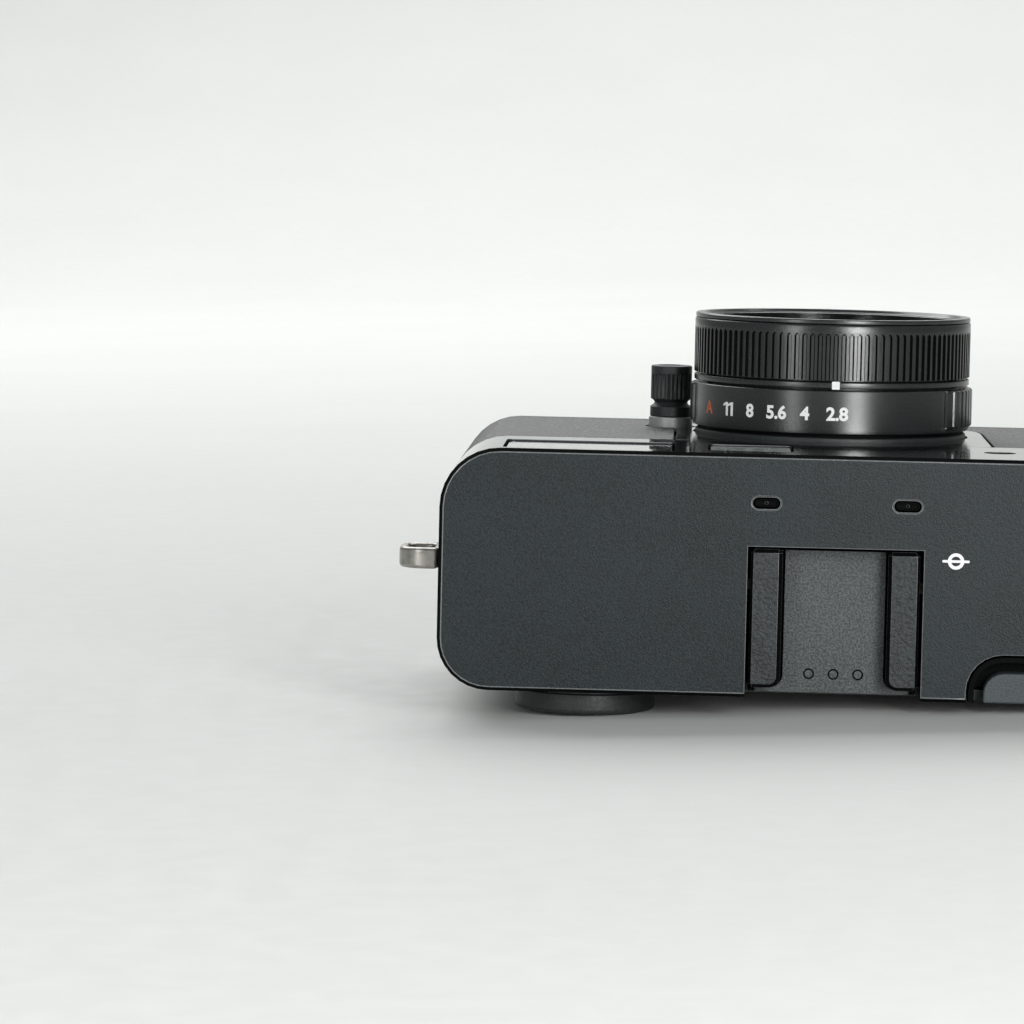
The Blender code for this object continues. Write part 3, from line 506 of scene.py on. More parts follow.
def ones(count, size, weight):
    """Flagged figure ones side by side."""
    high, stem, pitch = 0.69 * size + 2 * weight, 0.115 * size + 2 * weight, 0.37 * size + weight
    flag = 0.22 * size
    outline = [
        (0, 0), (stem, 0), (stem, high), (0.1 * stem, high), (-flag, 0.85 * high),
        (-flag, 0.70 * high), (0, 0.79 * high),
    ]
    bm = bmesh.new()
    for k in range(count):
        x = pitch * (k - (count - 1) / 2) - (stem - flag) / 2
        bm.faces.new([bm.verts.new((x + a, b - high / 2, FIGURE_THICK)) for a, b in outline])
    return bm


def lettering(text, size, weight):
    """Filled mesh of generic figures in the flat, centred on its own middle, in millimetres."""
    if set(text) == {"1"}:
        return ones(len(text), size, weight)
    curve = bpy.data.curves.new("figures", "FONT")
    curve.body = text
    curve.size = size
    curve.offset = weight
    curve.extrude = FIGURE_THICK
    curve.resolution_u = 6
    holder = bpy.data.objects.new("figures", curve)
    bpy.context.scene.collection.objects.link(holder)
    bpy.context.view_layer.update()
    mesh = holder.evaluated_get(bpy.context.evaluated_depsgraph_get()).to_mesh()
    bm = bmesh.new()
    bm.from_mesh(mesh)
    bpy.data.objects.remove(holder)
    bmesh.ops.remove_doubles(bm, verts=bm.verts, dist=1e-4)
    xs = [v.co.x for v in bm.verts]
    ys = [v.co.y for v in bm.verts]
    middle_x, middle_y = (min(xs) + max(xs)) / 2, (min(ys) + max(ys)) / 2
    for v in bm.verts:
        v.co.x -= middle_x
        v.co.y -= middle_y
    return bm


def sliced(bm, step):
    """Cuts a mesh with upright planes so that it can follow a curve."""
    xs = [v.co.x for v in bm.verts]
    x = min(xs) + step
    while x < max(xs):
        geometry = bm.verts[:] + bm.edges[:] + bm.faces[:]
        bmesh.ops.bisect_plane(bm, geom=geometry, plane_co=(x, 0, 0), plane_no=(1, 0, 0))
        x += step
    return bm


def figures_on_ring(name, text, angle, height, radius, size, mat, body, weight=0.03):
    """Generic figures wrapped on the side of a ring round the lens axis."""
    bm = sliced(lettering(text, size, weight), 0.35)
    for v in bm.verts:
        turn = angle + math.degrees(v.co.x / radius)
        away = radius + v.co.z + FIGURE_PROUD
        v.co = axis_point(("xu", LENS_X, LENS_U), away, turn, height + v.co.y)
    return made_piece(name, bm, mat, body, smooth=30)


def figures_on_disc(name, text, centre, angle, r, u, size, mat, body):
    """Generic figures lying on a round top, their feet towards the middle."""
    bm = lettering(text, size, 0.02)
    turn = Matrix.Rotation(math.radians(angle), 3, "Z")
    for v in bm.verts:
        flat = turn @ Vector((v.co.x, v.co.y + r, 0))
        v.co = point(centre[0] + flat.x, u - FIGURE_PROUD - v.co.z, centre[1] + flat.y)
    return made_piece(name, bm, mat, body, smooth=30)


# ---------------------------------------------------------------- lens

LENS_AXIS = ("xu", LENS_X, LENS_U)
TAB_START, TAB_END = 54.0, 100.0
FIGURE_SIZE = 2.15
RING_WALL, BEARING_GAP, GLASS_R = 1.4, 0.3, 6.7


def lens_h(node):
    """Low and high d of a lens node in millimetres."""
    return spans(node)[2]


def outer_r(node):
    low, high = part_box(node)
    return (high.x - low.x) / 2 / MM


def make_focus_ring():
    """Smooth ring with round-ended channels cut up its side from its rear edge."""
    low, high = lens_h("focus_ring")
    r = outer_r("focus_ring")
    bore = r - RING_WALL
    channels, wall, depth = 112, 0.14, 0.30
    pitch = 2 * math.pi * r / channels
    half = 0.17
    end = low + 5.42

    def row(width, floor, h):
        loop = []
        for i in range(channels):
            for offset, radius in ((-0.5 * pitch, r), (-width - wall, r), (-width, floor), (0.0, floor),
                                   (width, floor), (width + wall, r)):
                angle = 360 * i / channels + math.degrees(offset / r)
                loop.append(axis_point(LENS_AXIS, radius, angle, h))
        return loop

    def plain(radius, h):
        return [axis_point(LENS_AXIS, radius, 360 * i / (channels * 6), h) for i in range(channels * 6)]

    floor = r - depth
    sections = [plain(bore, low), row(half, floor, low), row(half, floor, end - half)]
    for k in range(1, 6):
        t = math.radians(90 * k / 5)
        sections.append(row(half * math.cos(t) + 0.001, floor, end - half + half * math.sin(t)))
    sections.append(row(0.001, r, end + wall))
    sections += [row(half, r, end + wall + 0.1), row(half, r, high - 0.22)]
    sections += [plain(r - 0.05, high - 0.12), plain(r - 0.16, high), plain(bore, high)]
    bm = bmesh.new()
    loops = [[bm.verts.new(p) for p in section] for section in sections]
    bridge(bm, loops + loops[:1])
    ring = made_piece("focus_ring_channelled", bm, RING, "focus_ring", ("focus_ring",), 32)
    # The channel walls and round ends are painted black as shade, so the channels show dark outlines.
    ring.data.materials.append(BLACK_AND_SHADE)
    for face in ring.data.polygons:
        away = face.center - point(LENS_X, LENS_U, 0)
        radius = math.hypot(away.x, away.y) / MM
        if floor + 0.03 < radius < r - 0.03 and face.center.z < point(0, 0, end + 2 * wall).z:
            face.material_index = 1


def make_aperture_ring():
    """Smooth ring with two ribbed finger tabs and generic stops along its rear side."""
    low, high = lens_h("aperture_ring")
    r = outer_r("focus_ring")
    bore = r - RING_WALL
    proud, rib_pitch, groove = 0.40, 4.6, 0.16
    columns = []
    angle = 0.0
    while angle < 360 - 1e-6:
        columns.append(angle)
        angle += 0.45 if TAB_START - 1.5 <= angle % 180 <= TAB_END + 1.5 else 1.8

    def tab(angle):
        """0 to 1 for how far the tab stands out here, with grooves between its ribs."""
        a = angle % 180
        edge = min(a - TAB_START, TAB_END - a)
        if edge <= 0.0:
            return -0.3 if edge > -0.9 else 0.0
        ramp = 0.22 + 0.38 * min(1.0, edge / 4.0) if edge < 4.4 else 1.0
        phase = ((a - TAB_START) % rib_pitch) / rib_pitch
        valley = max(0.0, 1 - abs(phase - 0.5) / 0.18)
        inside = 1.0 if edge > 6.0 else 0.0
        return ramp - inside * groove / proud * min(1.0, valley * 1.5)

    def row(base, stand, h):
        return [base + proud * stand * tab(a) for a in columns], h

    rows = [
        ([bore] * len(columns), low), row(r - 0.14, 0.0, low), row(r - 0.02, 0.0, low + 0.1),
        row(r, 0.0, low + 0.3), row(r, 0.5, low + 0.5), row(r, 0.92, low + 0.66), row(r, 1.0, low + 0.85),
        row(r, 1.0, high - 0.45), row(r, 0.92, high - 0.26), row(r, 0.45, high - 0.12),
        row(r - 0.03, 0.0, high - 0.08), row(r - 0.14, 0.0, high), ([bore] * len(columns), high),
    ]
    made_piece("aperture_ring_marked", grid_turned(LENS_AXIS, columns, rows), RING, "aperture_ring",
               ("aperture_ring",), 32)
    mid = low + (high - low) * 0.47
    stops = (("2.8", -1.2), ("4", 12.1), ("5.6", 24.2), ("8", 36.6), ("11", 48.6))
    for text, turn in stops:
        name = "stop_figure_" + text.replace(".", "_")
        figures_on_ring(name, text, -turn, mid, r, FIGURE_SIZE, WHITE, "aperture_ring", 0.075)
    figures_on_ring("stop_figure_auto", "A", -62.0, mid, r, FIGURE_SIZE, ORANGE, "aperture_ring", 0.055)


def make_barrel():
    """Fixed barrel with the index band between its two rings, and the dark skirt at its foot."""
    r = outer_r("focus_ring")
    bore = r - RING_WALL
    foot, inner = BODY_T, bore - BEARING_GAP
    ap_low, ap_high = lens_h("aperture_ring")
    fo_low = lens_h("focus_ring")[0]
    stop = lens_h("front_ring")[0] - BEARING_GAP
    band = (ap_high + 0.28, fo_low - 0.28)
    spun("lens_barrel", LENS_AXIS, [
        (12.4, foot - 16.0), (15.0, foot - 16.0), (15.0, foot - 14.6), (13.5, foot - 14.6),
        (13.5, ap_low), (inner, ap_low), (inner, band[0]), (r - 0.04, band[0]), (r - 0.04, band[1]),
        (inner, band[1]), (inner, stop), (13.9, stop), (13.9, foot + 8.0), (12.4, foot + 8.0),
    ], RING, "camera_body", ("lens_tube",), 0.1, 192)
    spun("barrel_skirt", LENS_AXIS, [
        (13.7, foot + 0.58), (16.3, foot + 0.58), (16.3, ap_low - 0.03), (13.7, ap_low - 0.03),
    ], BLACK_AND_SHADE, "camera_body", (), 0.03, 192)
    outline = rounded_rect((-0.37, 0.56), (band[0] - 0.12, band[1] + 0.14), 0.12, 4)
    bm = prism(outline, lambda a, b, h: axis_point(LENS_AXIS, h, math.degrees(a / r), b), r - 0.1, r + 0.03)
    made_piece("aperture_index", bm, WHITE, "camera_body", smooth=30)


def make_front_ring():
    """Smooth front ring with a fine thread cut inside its mouth."""
    r = outer_r("focus_ring")
    inner = r - RING_WALL - BEARING_GAP
    ring_top = lens_h("focus_ring")[1]
    low, high = lens_h("front_ring")
    thread = []
    for k in range(6):
        h = high - 0.42 - 0.16 * k
        thread += [(15.25, h), (15.0, h - 0.08)]
    spun("front_ring_threaded", LENS_AXIS, [
        (13.9, low), (inner, low), (inner, ring_top + 0.22), (r - 0.24, ring_top + 0.22),
        (r - 0.06, ring_top + 0.10), (r - 0.06, high - 0.12), (r - 0.18, high), (15.75, high),
        (15.45, high - 0.3), *thread, (15.2, high - 1.35), (13.9, high - 1.45),
    ], RING, "camera_body", ("front_ring",), 0.04, 192)


def make_bezel():
    """Matt cone of fine steps down to the glass, and the plinth round the foot of the lens."""
    foot = BODY_T
    steps = [(6.7, foot + 9.3), (13.5, foot + 9.3), (13.5, foot + 13.3)]
    ridge_r, ridge_h = 13.0, foot + 13.3
    while ridge_r > 7.6:
        steps += [(ridge_r, ridge_h), (ridge_r - 0.12, ridge_h - 0.3)]
        ridge_r -= 0.34
        ridge_h = max(foot + 10.3, ridge_h - 0.26)
    steps.append((7.0, foot + 10.2))
    spun("lens_bezel_stepped", LENS_AXIS, steps, DARK, "camera_body", ("lens_bezel",),
         0.05, 144)
    spun("lens_plinth_turned", LENS_AXIS, [
        (13.8, foot - 0.6), (16.6, foot - 0.6), (16.6, foot + 0.4), (16.42, foot + 0.55),
        (13.8, foot + 0.55),
    ], SHELL, "camera_body", ("lens_plinth",), 0.06, 192)


def make_focusing_group():
    """Cell that slides in the barrel, with its front and rear glass."""
    foot = BODY_T
    spun("focus_cell", LENS_AXIS, [
        (7.0, foot - 13.0), (12.1, foot - 13.0), (12.1, foot + 7.6), (10.4, foot + 7.6),
        (10.2, foot + 7.3), (9.7, foot + 7.3), (9.5, foot + 7.0), (9.0, foot + 7.2), (7.0, foot + 7.1),
    ], DARK, "focusing_group", ("lens_cell",), 0.08, 96)
    dome = domed(GLASS_R, foot + 4.6, foot + 6.1, 1.05, 12)
    made_piece("front_element_coated", lathe(LENS_AXIS, dome, 96), LENS_GLASS, "focusing_group",
               ("front_element",), 35)
    rear = domed(GLASS_R, foot - 9.4, foot - 11.2, -0.8, 8)
    made_piece("rear_element_coated", lathe(LENS_AXIS, rear, 64), LENS_GLASS, "focusing_group",
               ("rear_element",), 35)


# ---------------------------------------------------------------- front

def make_knob():
    axis = ("xu", KNOB_X, KNOB_U)
    low, high = spans("front_knob")[2]
    boss = spans("knob_boss")[2]
    head_r = outer_r("front_knob") - 0.2
    ribs = 26
    columns = [360 * i / (ribs * 6) for i in range(ribs * 6)]

    def ribbed(base, depth):
        return [base - depth * (0.5 - 0.5 * math.cos(math.radians(a * ribs))) ** 2 for a in columns]

    def plain(radius):
        return [radius] * len(columns)

    neck = high - 4.62
    flange_low = boss[1] + 0.06
    rows = [
        (plain(0.99), low), (plain(0.99), flange_low), (plain(2.5), flange_low),
        (plain(2.58), flange_low + 0.08), (plain(2.58), neck - 0.52), (plain(2.5), neck - 0.44),
        (plain(2.16), neck - 0.22), (plain(2.04), neck), (plain(2.16), neck + 0.22),
        (plain(head_r - 0.08), neck + 0.42), (ribbed(head_r, 0.0), neck + 0.48),
        (ribbed(head_r, 0.20), neck + 0.6), (ribbed(head_r, 0.20), high - 1.15),
        (ribbed(head_r, 0.0), high - 1.02), (plain(head_r), high - 0.2),
        (plain(head_r - 0.05), high - 0.07), (plain(head_r - 0.2), high), (plain(1.75), high),
        (plain(1.6), high - 0.12), (plain(0.3), high - 0.12),
    ]
    made_piece("front_knob_ribbed", grid_turned(axis, columns, rows), SHELL, "front_knob",
               ("front_knob",), 32)
    spun("knob_boss_turned", axis, [
        (1.4, boss[0]), (2.72, boss[0]), (2.72, boss[1] - 0.06), (2.66, boss[1]), (1.4, boss[1]),
    ], SATIN, "camera_body", ("knob_boss",), 0.03, 64)


def make_front_windows():
    refined("finder_window", GLASS, "camera_body", 0.08, 2)
    refined("flash_window", FLASH_GLASS, "camera_body", 0.08, 2)
    (x0, x1), (u0, u1), (d0, d1) = spans("flash_led")
    ribs, groove = 12, 0.25
    outline = []
    for i in range(ribs * 2 + 1):
        t = i / (ribs * 2)
        outline.append((u0 + (u1 - u0) * t, d1 - (groove if i % 2 else 0.0)))
    outline += [(u1, d0), (u0, d0)]
    bm = prism(outline, lambda u, d, x: point(x, u, d), x0, x1)
    made_piece("flash_reflector_ribbed", bm, FLASH_GLASS, "camera_body", ("flash_led",), 20)
    x, u, _ = middle("af_lamp_lens")
    low, high = spans("af_lamp_lens")[2]
    rise = 0.45
    dome = domed(outer_r("af_lamp_lens"), low, high - rise, rise, 9)
    made_piece("af_lamp_dome", lathe(("xu", x, u), dome, 64), LENS_GLASS, "camera_body",
               ("af_lamp_lens",), 35)


def make_mic(node):
    """Recessed pill with a raised rim round a small sound hole; the rim is painted light as a highlight."""
    (x0, x1), (u0, u1), (d0, d1) = spans(node)
    x, d = (x0 + x1) / 2, (d0 + d1) / 2
    half, r = (x1 - x0) / 2, (d1 - d0) / 2
    levels = [(0.0, u1), (0.0, u0 + 0.05), (0.05, u0), (0.16, u0), (0.22, u0 + 0.2), (0.3, u0 + 0.22)]
    bm = bmesh.new()
    loops = []
    for inset, u in levels:
        loops.append([bm.verts.new(point(a, u, b)) for a, b in pill(x, d, half - inset, r - inset)])
    bridge(bm, loops)
    bm.faces.new(loops[0][::-1])
    bm.faces.new(loops[-1])
    made_piece(node + "_grille", bm, BLACK_AND_SHADE, "camera_body", (node,), 30)
    # Thin ring round the pill, painted light as a highlight.
    rim = bmesh.new()
    edges = []
    for outset, u in ((0.17, 0.2), (0.17, 0.02), (0.20, -0.01), (0.25, -0.01), (0.25, 0.2)):
        edges.append([rim.verts.new(point(a, u, b)) for a, b in pill(x, d, half + outset, r + outset)])
    bridge(rim, edges + edges[:1])
    made_piece(node + "_rim", rim, RIM_HIGHLIGHT, "camera_body", (), 30)
    hole, lip = 0.12, 0.14
    spun(node + "_eyelet", ("xd", x, d), [
        (hole, u0 + 0.2), (hole + lip / 2, u0 + 0.14), (hole + lip, u0 + 0.2), (hole + lip, u0 + 0.3),
        (hole, u0 + 0.3),
    ], RING, "camera_body", (), 0.02, 32)


# ---------------------------------------------------------------- top plate

COVER_EDGE, COVER_END = 0.5, 7.2
RAIL_SLOPE, RAIL_RIM = 0.45, 0.07
DIMPLES, DIMPLE_D = (-2.7, 0.15, 3.0), 2.49


def paint_cover(cover):
    """Matte plate and glossy sides; the chamfer between them and the walls of the hollows in the plate's
    middle are painted black as shade, and the plate's rounded rim is painted light as a highlight.
    """
    for mat in (STRIP, BLACK_AND_SHADE, RIM_HIGHLIGHT):
        cover.data.materials.append(mat)
    for face in cover.data.polygons:
        depth = (face.center.y - TOP_Y) / MM
        # The chamfer and the walls of the middle hollows get the black painted shade; other sides get the
        # glossy side paint.
        if is_chamfer(face.normal) and depth < COVER_EDGE:
            face.material_index = 2
        elif face.normal.y > -0.3 and depth > COVER_EDGE * 0.9:
            hollow = BACK_Z + 0.00005 < face.center.z < FRONT_Z - 0.00005
            middle_part = abs(face.center.x) < (HALF_W - COVER_END) * MM
            face.material_index = 2 if hollow and middle_part else 1
    bm = bmesh.new()
    bm.from_mesh(cover.data)
    weight = bm.edges.layers.float.new("bevel_weight_edge")
    for edge in bm.edges:
        if len(edge.link_faces) != 2:
            continue
        one, two = (f.normal for f in edge.link_faces)
        if one.angle(two) > math.radians(32) and min(one.y, two.y) < -0.9:
            edge[weight] = 1.0
    bm.to_mesh(cover.data)
    bm.free()
    bevel = cover.modifiers["edges"]
    bevel.limit_method = "WEIGHT"
    # The rounded rim takes the painted highlight material.
    bevel.material = 3


def is_chamfer(normal):
    return -0.9 < normal.y < -0.3


def make_top_plate():
    cover = refined("top_cover", PAINT, "camera_body", 0.11, 3)
    paint_cover(cover)
    make_shoe_rails()
    make_shoe_plate()
    # The lever's well is painted black as shade in the gap round the lever.
    refined("lever_well", BLACK_AND_SHADE, "camera_body", 0.1, 2)
    refined("lever_shaft", GUNMETAL, "camera_body", 0.1, 2)
    refined("advance_lever", LEVER_PAINT, "advance_lever", 0.22, 4)
    make_mic("mic_insert_left")
    make_mic("mic_insert_right")
    make_plane_mark()


def make_shoe_rails():
    """Rails with grained tops; a slope round their inner edges and their sides are painted black as shade,
    and a fine rim is painted light as a highlight.
    """
    shoe = refined("cold_shoe", RAIL_PAINT, "camera_body", RAIL_SLOPE, 1, False)
    shoe.data.materials.append(BLACK_AND_SHADE)
    shoe.data.materials.append(RAIL_RIM_HIGHLIGHT)
    # The rails' sides and lower faces are painted black as shade.
    for face in shoe.data.polygons:
        if face.normal.y > -0.9 or (face.center.y - TOP_Y) / MM > 1.0:
            face.material_index = 1
    # The wide slope round the inner edges is painted black as shade.
    slope = shoe.modifiers["edges"]
    slope.angle_limit = math.radians(60)
    slope.material = 1
    # The fine rim is painted light as a highlight.
    rim = shoe.modifiers.new("rim", "BEVEL")
    rim.width = RAIL_RIM * MM
    rim.segments = 2
    rim.limit_method = "ANGLE"
    rim.angle_limit = math.radians(30)
    rim.material = 2


def make_shoe_plate():
    """Floor of the shoe: wide at its open end, narrow between the rails, with three ringed dimples."""
    (x0, x1), (u0, u1), (d0, d1) = spans("shoe_plate")
    centre = (x0 + x1) / 2
    half, step_d, corner = (x1 - x0) / 2, 0.80, 1.55
    left, right = 5.74, 5.94
    outline = [(centre - half, d0), (centre + half, d0), (centre + half, step_d)]
    outline += arc(centre + right + corner, step_d + corner, corner, 270, 180, 8)
    outline += [(centre + right, d1), (centre - left, d1)]
    outline += arc(centre - left - corner, step_d + corner, corner, 0, -90, 8)
    outline.append((centre - half, step_d))
    bm = prism(outline, on_top, u0, u1)
    plate = made_piece("shoe_plate_dimpled", bm, SHOE_PAINT, "camera_body",
                       ("shoe_plate",), 30)
    for offset in DIMPLES:
        # Each ringed groove is cut away and its walls painted black as shade.
        groove = lathe(("xd", centre + offset, DIMPLE_D), [
            (0.43, u0 - 0.3), (0.66, u0 - 0.3), (0.60, u0 + 0.16), (0.49, u0 + 0.16),
        ], 32)
        cut_away(plate, groove)
    plate.data.shade_smooth()
    plate.data.set_sharp_from_angle(angle=math.radians(30))
    add_bevel(plate, 0.05, 2)


def cut_away(obj, bm):
    """Removes the solid in bm from the object; the faces of the cut take the black material, painted shade.
    """
    bmesh.ops.recalc_face_normals(bm, faces=bm.faces)
    mesh = bpy.data.meshes.new("cutter")
    bm.to_mesh(mesh)
    bm.free()
    mesh.materials.append(BLACK_AND_SHADE)
    cutter = bpy.data.objects.new("cutter", mesh)
    bpy.context.scene.collection.objects.link(cutter)
    cut = obj.modifiers.new("cut", "BOOLEAN")
    cut.operation = "DIFFERENCE"
    cut.object = cutter
    cut.solver = "EXACT"
    cut.material_mode = "TRANSFER"
    bpy.context.view_layer.update()
    applied = bpy.data.meshes.new_from_object(obj.evaluated_get(bpy.context.evaluated_depsgraph_get()))
    obj.modifiers.remove(cut)
    obj.data = applied
    bpy.data.objects.remove(cutter)


def make_plane_mark():
    """Line through a circle, the usual mark for the plane of the sensor."""
    centre_x, centre_d = 6.81, 16.37
    inner, outer, half, thick = 0.56, 0.95, 1.58, 0.15
    axis = ("xd", centre_x, centre_d)
    spun("sensor_plane_ring", axis, [
        (inner, -0.012), (outer, -0.012), (outer, 0.03), (inner, 0.03),
    ], WHITE, "camera_body", (), 0.004, 64)
    outline = pill(centre_x, centre_d, half, thick, 6)
    bm = prism(outline, on_top, -0.014, 0.03)
    made_piece("sensor_plane_line", bm, WHITE, "camera_body", smooth=30)


def make_controls():
    """Release, power collar and exposure dial, out of the photograph's sight."""
    x, _, d = middle("shutter_button")
    axis = ("xd", x, d)
    top = spans("shutter_button")[1][0]
    spun("shutter_button_dished", axis, [
        (0.0, 3.5), (1.5, 3.5), (1.5, top + 1.45), (3.9, top + 1.45), (3.9, top + 0.35), (3.45, top),
        (2.9, top + 0.03), (1.6, top + 0.28), (0.7, top + 0.36), (0.0, top + 0.38),
    ], RING, "shutter_button", ("shutter_button",), 0.1, 96)
    refined("power_collar", RING, "power_collar", 0.12, 3)
    angle, dot_r = math.radians(120), 7.2
    dot = ("xd", x + dot_r * math.cos(angle), d + dot_r * math.sin(angle))
    face = spans("power_collar")[1][0]
    spun("power_collar_dot", dot, [
        (0.0, face - 0.02), (0.45, face - 0.02), (0.45, face + 0.1), (0.0, face + 0.1),
    ], WHITE, "power_collar", (), 0.008, 32)
    make_dial()


def make_dial():
    x, _, d = middle("exposure_dial")
    axis = ("xd", x, d)
    top, foot = spans("exposure_dial")[1]
    r = outer_r("exposure_dial")
    ribs = 60
    columns = [360 * i / (ribs * 4) for i in range(ribs * 4)]
    skirt = -0.3

    def ribbed(base, depth):
        return [base - (depth if i % 4 in (0, 1) else 0.0) for i in range(len(columns))]

    def plain(radius):
        return [radius] * len(columns)

    rows = [
        (plain(0.02), foot), (plain(1.8), foot), (plain(1.8), skirt), (plain(r - 0.1), skirt),
        (plain(r), skirt - 0.1), (plain(r), skirt - 0.3), (ribbed(r, 0.22), skirt - 0.38),
        (ribbed(r, 0.22), top + 0.42), (plain(r - 0.28), top + 0.36), (plain(r - 0.5), top + 0.1),
        (plain(r - 0.6), top + 0.02), (plain(r - 0.8), top), (plain(2.6), top), (plain(2.4), top + 0.12),
        (plain(0.02), top + 0.12),
    ]
    made_piece("exposure_dial_ribbed", grid_turned(axis, columns, rows), RING, "exposure_dial",
               ("exposure_dial",), 32)
    figure_turn, figure_r = 33.75, 4.7
    for i, text in enumerate("3210123"):
        figures_on_disc("dial_figure_%d" % i, text, (x, d), figure_turn * (i - 3), figure_r, top, 1.9,
                        WHITE, "exposure_dial")
    for i in range(6):
        turn = math.radians(figure_turn * (i - 2.5))
        dot = ("xd", x - figure_r * math.sin(turn), d + figure_r * math.cos(turn))
        spun("dial_dot_%d" % i, dot, [
            (0.0, top - 0.015), (0.16, top - 0.015), (0.16, top + 0.03), (0.0, top + 0.03),
        ], WHITE, "exposure_dial", (), 0.004, 16)


# ---------------------------------------------------------------- back, sides, base and inside

def make_back():
    x, u, _ = middle("eyepiece_ring")
    low, high = spans("eyepiece_ring")[2]
    r = outer_r("eyepiece_ring")
    axis = ("xu", x, u)
    rim = [
        (6.3, low + 0.6), (6.45, low + 0.35), (6.9, low), (r - 0.4, low), (r - 0.06, low + 0.22),
        (r, low + 0.5), (r, -0.62), (r - 0.25, -0.5), (r - 0.25, -0.3), (r - 1.2, -0.3),
        (r - 1.2, high), (6.3, high), (6.3, 1.4), (6.1, 1.3), (6.1, 1.25), (6.3, 1.2),
    ]
    spun("eyepiece_rim", axis, rim, RUBBER, "camera_body", ("eyepiece_ring",), 0.07, 144)
    spun("eyepiece_glass", axis, [
        (0.0, 1.2), (6.0, 1.2), (6.0, -0.8), (5.2, -0.96), (4.0, -1.22), (2.6, -1.45), (1.3, -1.57),
        (0.0, -1.6),
    ], LENS_GLASS, "camera_body", ("eyepiece_lens",), 0.05, 72)
    spun("finder_objective_glass", axis, [
        (0.0, 23.0), (6.3, 23.0), (6.3, 20.4), (5.0, 20.62), (3.2, 20.86), (1.6, 20.97), (0.0, 21.0),
    ], LENS_GLASS, "camera_body", ("finder_objective",), 0.05, 72)
    refined("rear_shell", SHELL, "camera_body", 0.14, 3)
    refined("lcd_glass", LCD, "camera_body", 0.1, 3)
    refined("sub_display_glass", SUB, "camera_body", 0.1, 3)
    for node in ("playback_button", "display_button"):
        x, u, _ = middle(node)
        low, high = spans(node)[2]
        spun(node + "_domed", ("xu", x, u), [
            (0.0, high), (3.6, high), (3.6, high - 0.6), (2.9, high - 0.6), (2.9, low + 0.28),
            (2.6, low), (2.2, low + 0.02), (1.2, low + 0.12), (0.0, low + 0.16),
        ], RING, node, (node,), 0.08, 72)


def make_shell():
    refined("front_shell", SHELL, "camera_body", 0.05, 2)
    refined("base_plate", SHELL, "camera_body", 0.12, 3)
    refined("leatherette_left", LEATHER, "camera_body", 0.1, 2)
    refined("leatherette_right", LEATHER, "camera_body", 0.1, 2)
    refined("lens_panel", PANEL, "camera_body", 0.08, 2)
    refined("strap_lug_left", GUNMETAL, "camera_body", 0.45, 4, clamp=False)
    refined("strap_lug_right", GUNMETAL, "camera_body", 0.45, 4, clamp=False)
    refined("battery_door", SHELL, "battery_door", 0.12, 3)
    refined("door_latch", RING, "door_latch", 0.08, 2)
    refined("port_cover", SHELL, "port_cover", 0.12, 3)
    make_socket()


def make_socket():
    """Tripod socket with a ridged bore and a plain rim."""
    x, _, d = middle("tripod_socket")
    low, high = spans("tripod_socket")[1]
    bore, outer = 3.17, outer_r("tripod_socket")
    thread = []
    u = high - 0.5
    while u > low + 0.7:
        thread += [(bore, u), (bore + 0.35, u - 0.4)]
        u -= 0.8
    outline = [(outer, low), (outer, high - 0.02), (bore + 0.5, high - 0.02)] + thread + [(bore + 0.1, low)]
    made_piece("tripod_socket_threaded", lathe(("xd", x, d), rounded(outline, 0.05, 2), 72), BRASS,
               "camera_body", ("tripod_socket",), 35)


PLAIN_NODES = {
    "finder_tunnel": DARK, "leaf_shutter": GUNMETAL, "lcd_module": CELL, "sub_display_module": CELL,
    "image_sensor": LENS_GLASS, "sensor_board": BOARD, "chassis_plate": GUNMETAL, "main_board": BOARD,
    "battery_box": SHELL, "battery": CELL, "card_socket": GUNMETAL, "memory_card": CELL,
    "door_hinge_pin": GUNMETAL, "usb_socket": GUNMETAL,
}


def paint_inside():
    for node, mat in PLAIN_NODES.items():
        for slot in NODES[node].material_slots:
            slot.material = mat


# ---------------------------------------------------------------- studio

EYE_POINT = (-23.23, -564.5, 66.85)
YAW, PITCH, ROLL = 2.154, 4.660, 1.264
SENSOR, FOCAL = 36.0, 172.59
BACK_INSET, RIM_INSET = 6.0, 2.0


def make_camera():
    data = bpy.data.cameras.new("camera")
    data.sensor_width = SENSOR
    data.lens = FOCAL
    data.clip_start, data.clip_end = 0.01, 20.0
    cam = bpy.data.objects.new("camera", data)
    bpy.context.scene.collection.objects.link(cam)
    yaw, pitch, roll = (math.radians(v) for v in (YAW, PITCH, ROLL))
    ahead = Vector((-math.sin(yaw) * math.cos(pitch), math.cos(yaw) * math.cos(pitch), -math.sin(pitch)))
    right = Vector((math.cos(yaw), math.sin(yaw), 0.0))
    above = right.cross(ahead)
    turned_right = math.cos(roll) * right + math.sin(roll) * above
    turned_above = -math.sin(roll) * right + math.cos(roll) * above
    basis = Matrix((turned_right, turned_above, -ahead)).transposed().to_4x4()
    cam.matrix_world = Matrix.Translation(point(*EYE_POINT)) @ basis
    bpy.context.scene.camera = cam


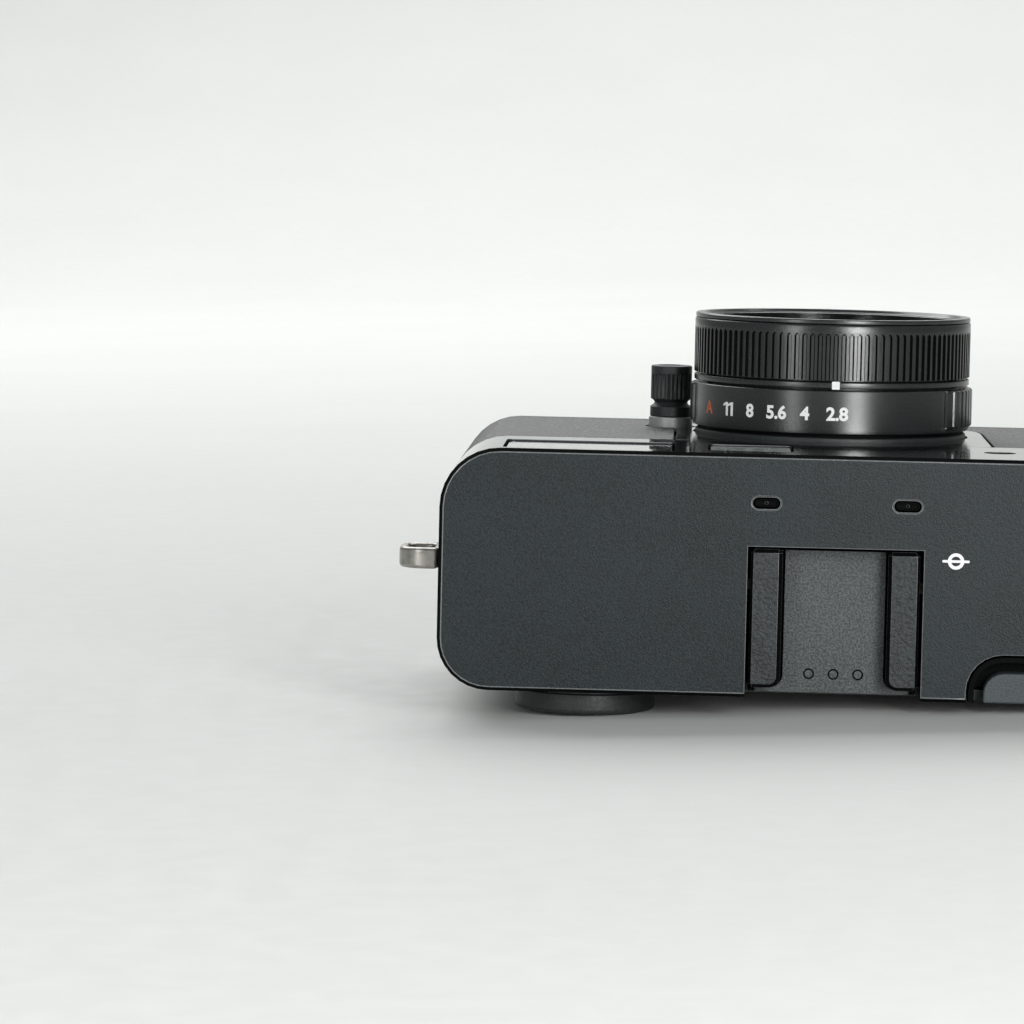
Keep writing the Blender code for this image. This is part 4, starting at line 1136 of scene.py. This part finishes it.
def make_floor():
    """Pale sweep, leaning so that the eyepiece rim and the far end of the back both touch it.

    The places of touch lie RIM_INSET and BACK_INSET millimetres inside those two edges.
    """
    s = Shader("floor_pale")
    s.colour(s.mixed(s.noise(14.0, 4.0), (0.66, 0.67, 0.655), (0.70, 0.71, 0.695)))
    s.roughness(s.ranged(s.noise(220.0), 0.3, 0.7, 0.6, 0.75))
    s.bump(s.noise(900.0, 3.0), 0.12, 0.00006)
    half, near, bend, radius, top = 3.0, -2.2, 1.3, 0.9, 2.6
    path = [(near, 0.0), (bend, 0.0)]
    path += [(bend + radius * math.sin(math.radians(a)), radius - radius * math.cos(math.radians(a)))
             for a in range(6, 91, 6)]
    path.append((bend + radius, top))
    bm = bmesh.new()
    sides = [[bm.verts.new((x, y, z)) for y, z in path] for x in (-half, half)]
    for i in range(len(path) - 1):
        bm.faces.new((sides[0][i], sides[1][i], sides[1][i + 1], sides[0][i + 1]))
    mesh = bpy.data.meshes.new("floor")
    bm.to_mesh(mesh)
    bm.free()
    mesh.materials.append(s.mat)
    mesh.shade_smooth()
    floor = bpy.data.objects.new("floor", mesh)
    bpy.context.scene.collection.objects.link(floor)
    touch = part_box("eyepiece_ring")
    lean = math.atan2(BACK_Z - touch[0].z, (HALF_W - BACK_INSET + RIM_INSET) * MM - touch[1].x)
    pivot = Vector((touch[1].x - RIM_INSET / 2 * MM, 0.0, touch[0].z))
    turned = Matrix.Rotation(-lean, 4, "Y")
    floor.matrix_world = Matrix.Translation(pivot) @ turned @ Matrix.Translation(-pivot)


def area(name, place, target, size, power, colour=(1.0, 1.0, 1.0)):
    data = bpy.data.lights.new(name, "AREA")
    data.shape = "RECTANGLE"
    data.size, data.size_y = size
    data.energy = power
    data.color = colour
    light = bpy.data.objects.new(name, data)
    bpy.context.scene.collection.objects.link(light)
    light.location = place
    light.visible_camera = False
    light.rotation_euler = (Vector(target) - Vector(place)).to_track_quat("-Z", "Y").to_euler()


def make_light():
    world = bpy.data.worlds.new("studio")
    world.use_nodes = True
    sky = world.node_tree.nodes["Background"]
    sky.inputs["Color"].default_value = (0.93, 1.0, 0.985, 1.0)
    sky.inputs["Strength"].default_value = 0.30
    bpy.context.scene.world = world
    area("back_window", (-0.5, 1.15, 1.15), (0, 0, 0), (1.8, 1.0), 18.0)
    area("far_wash", (0.0, 1.0, 1.9), (0.0, 2.2, 0.7), (2.6, 0.8), 21.0)
    area("front_right", (0.155, -0.46, 0.12), (-0.005, -0.03, 0.03), (0.12, 0.26), 1.5)
    area("front_left", (-0.27, -0.40, 0.12), (-0.005, -0.03, 0.03), (0.08, 0.26), 0.38)
    bpy.context.scene.view_settings.view_transform = "Standard"


def main():
    make_camera()
    make_light()
    make_floor()
    make_focus_ring()
    make_aperture_ring()
    make_barrel()
    make_front_ring()
    make_bezel()
    make_focusing_group()
    make_knob()
    make_front_windows()
    make_top_plate()
    make_controls()
    make_back()
    make_shell()
    paint_inside()


main()
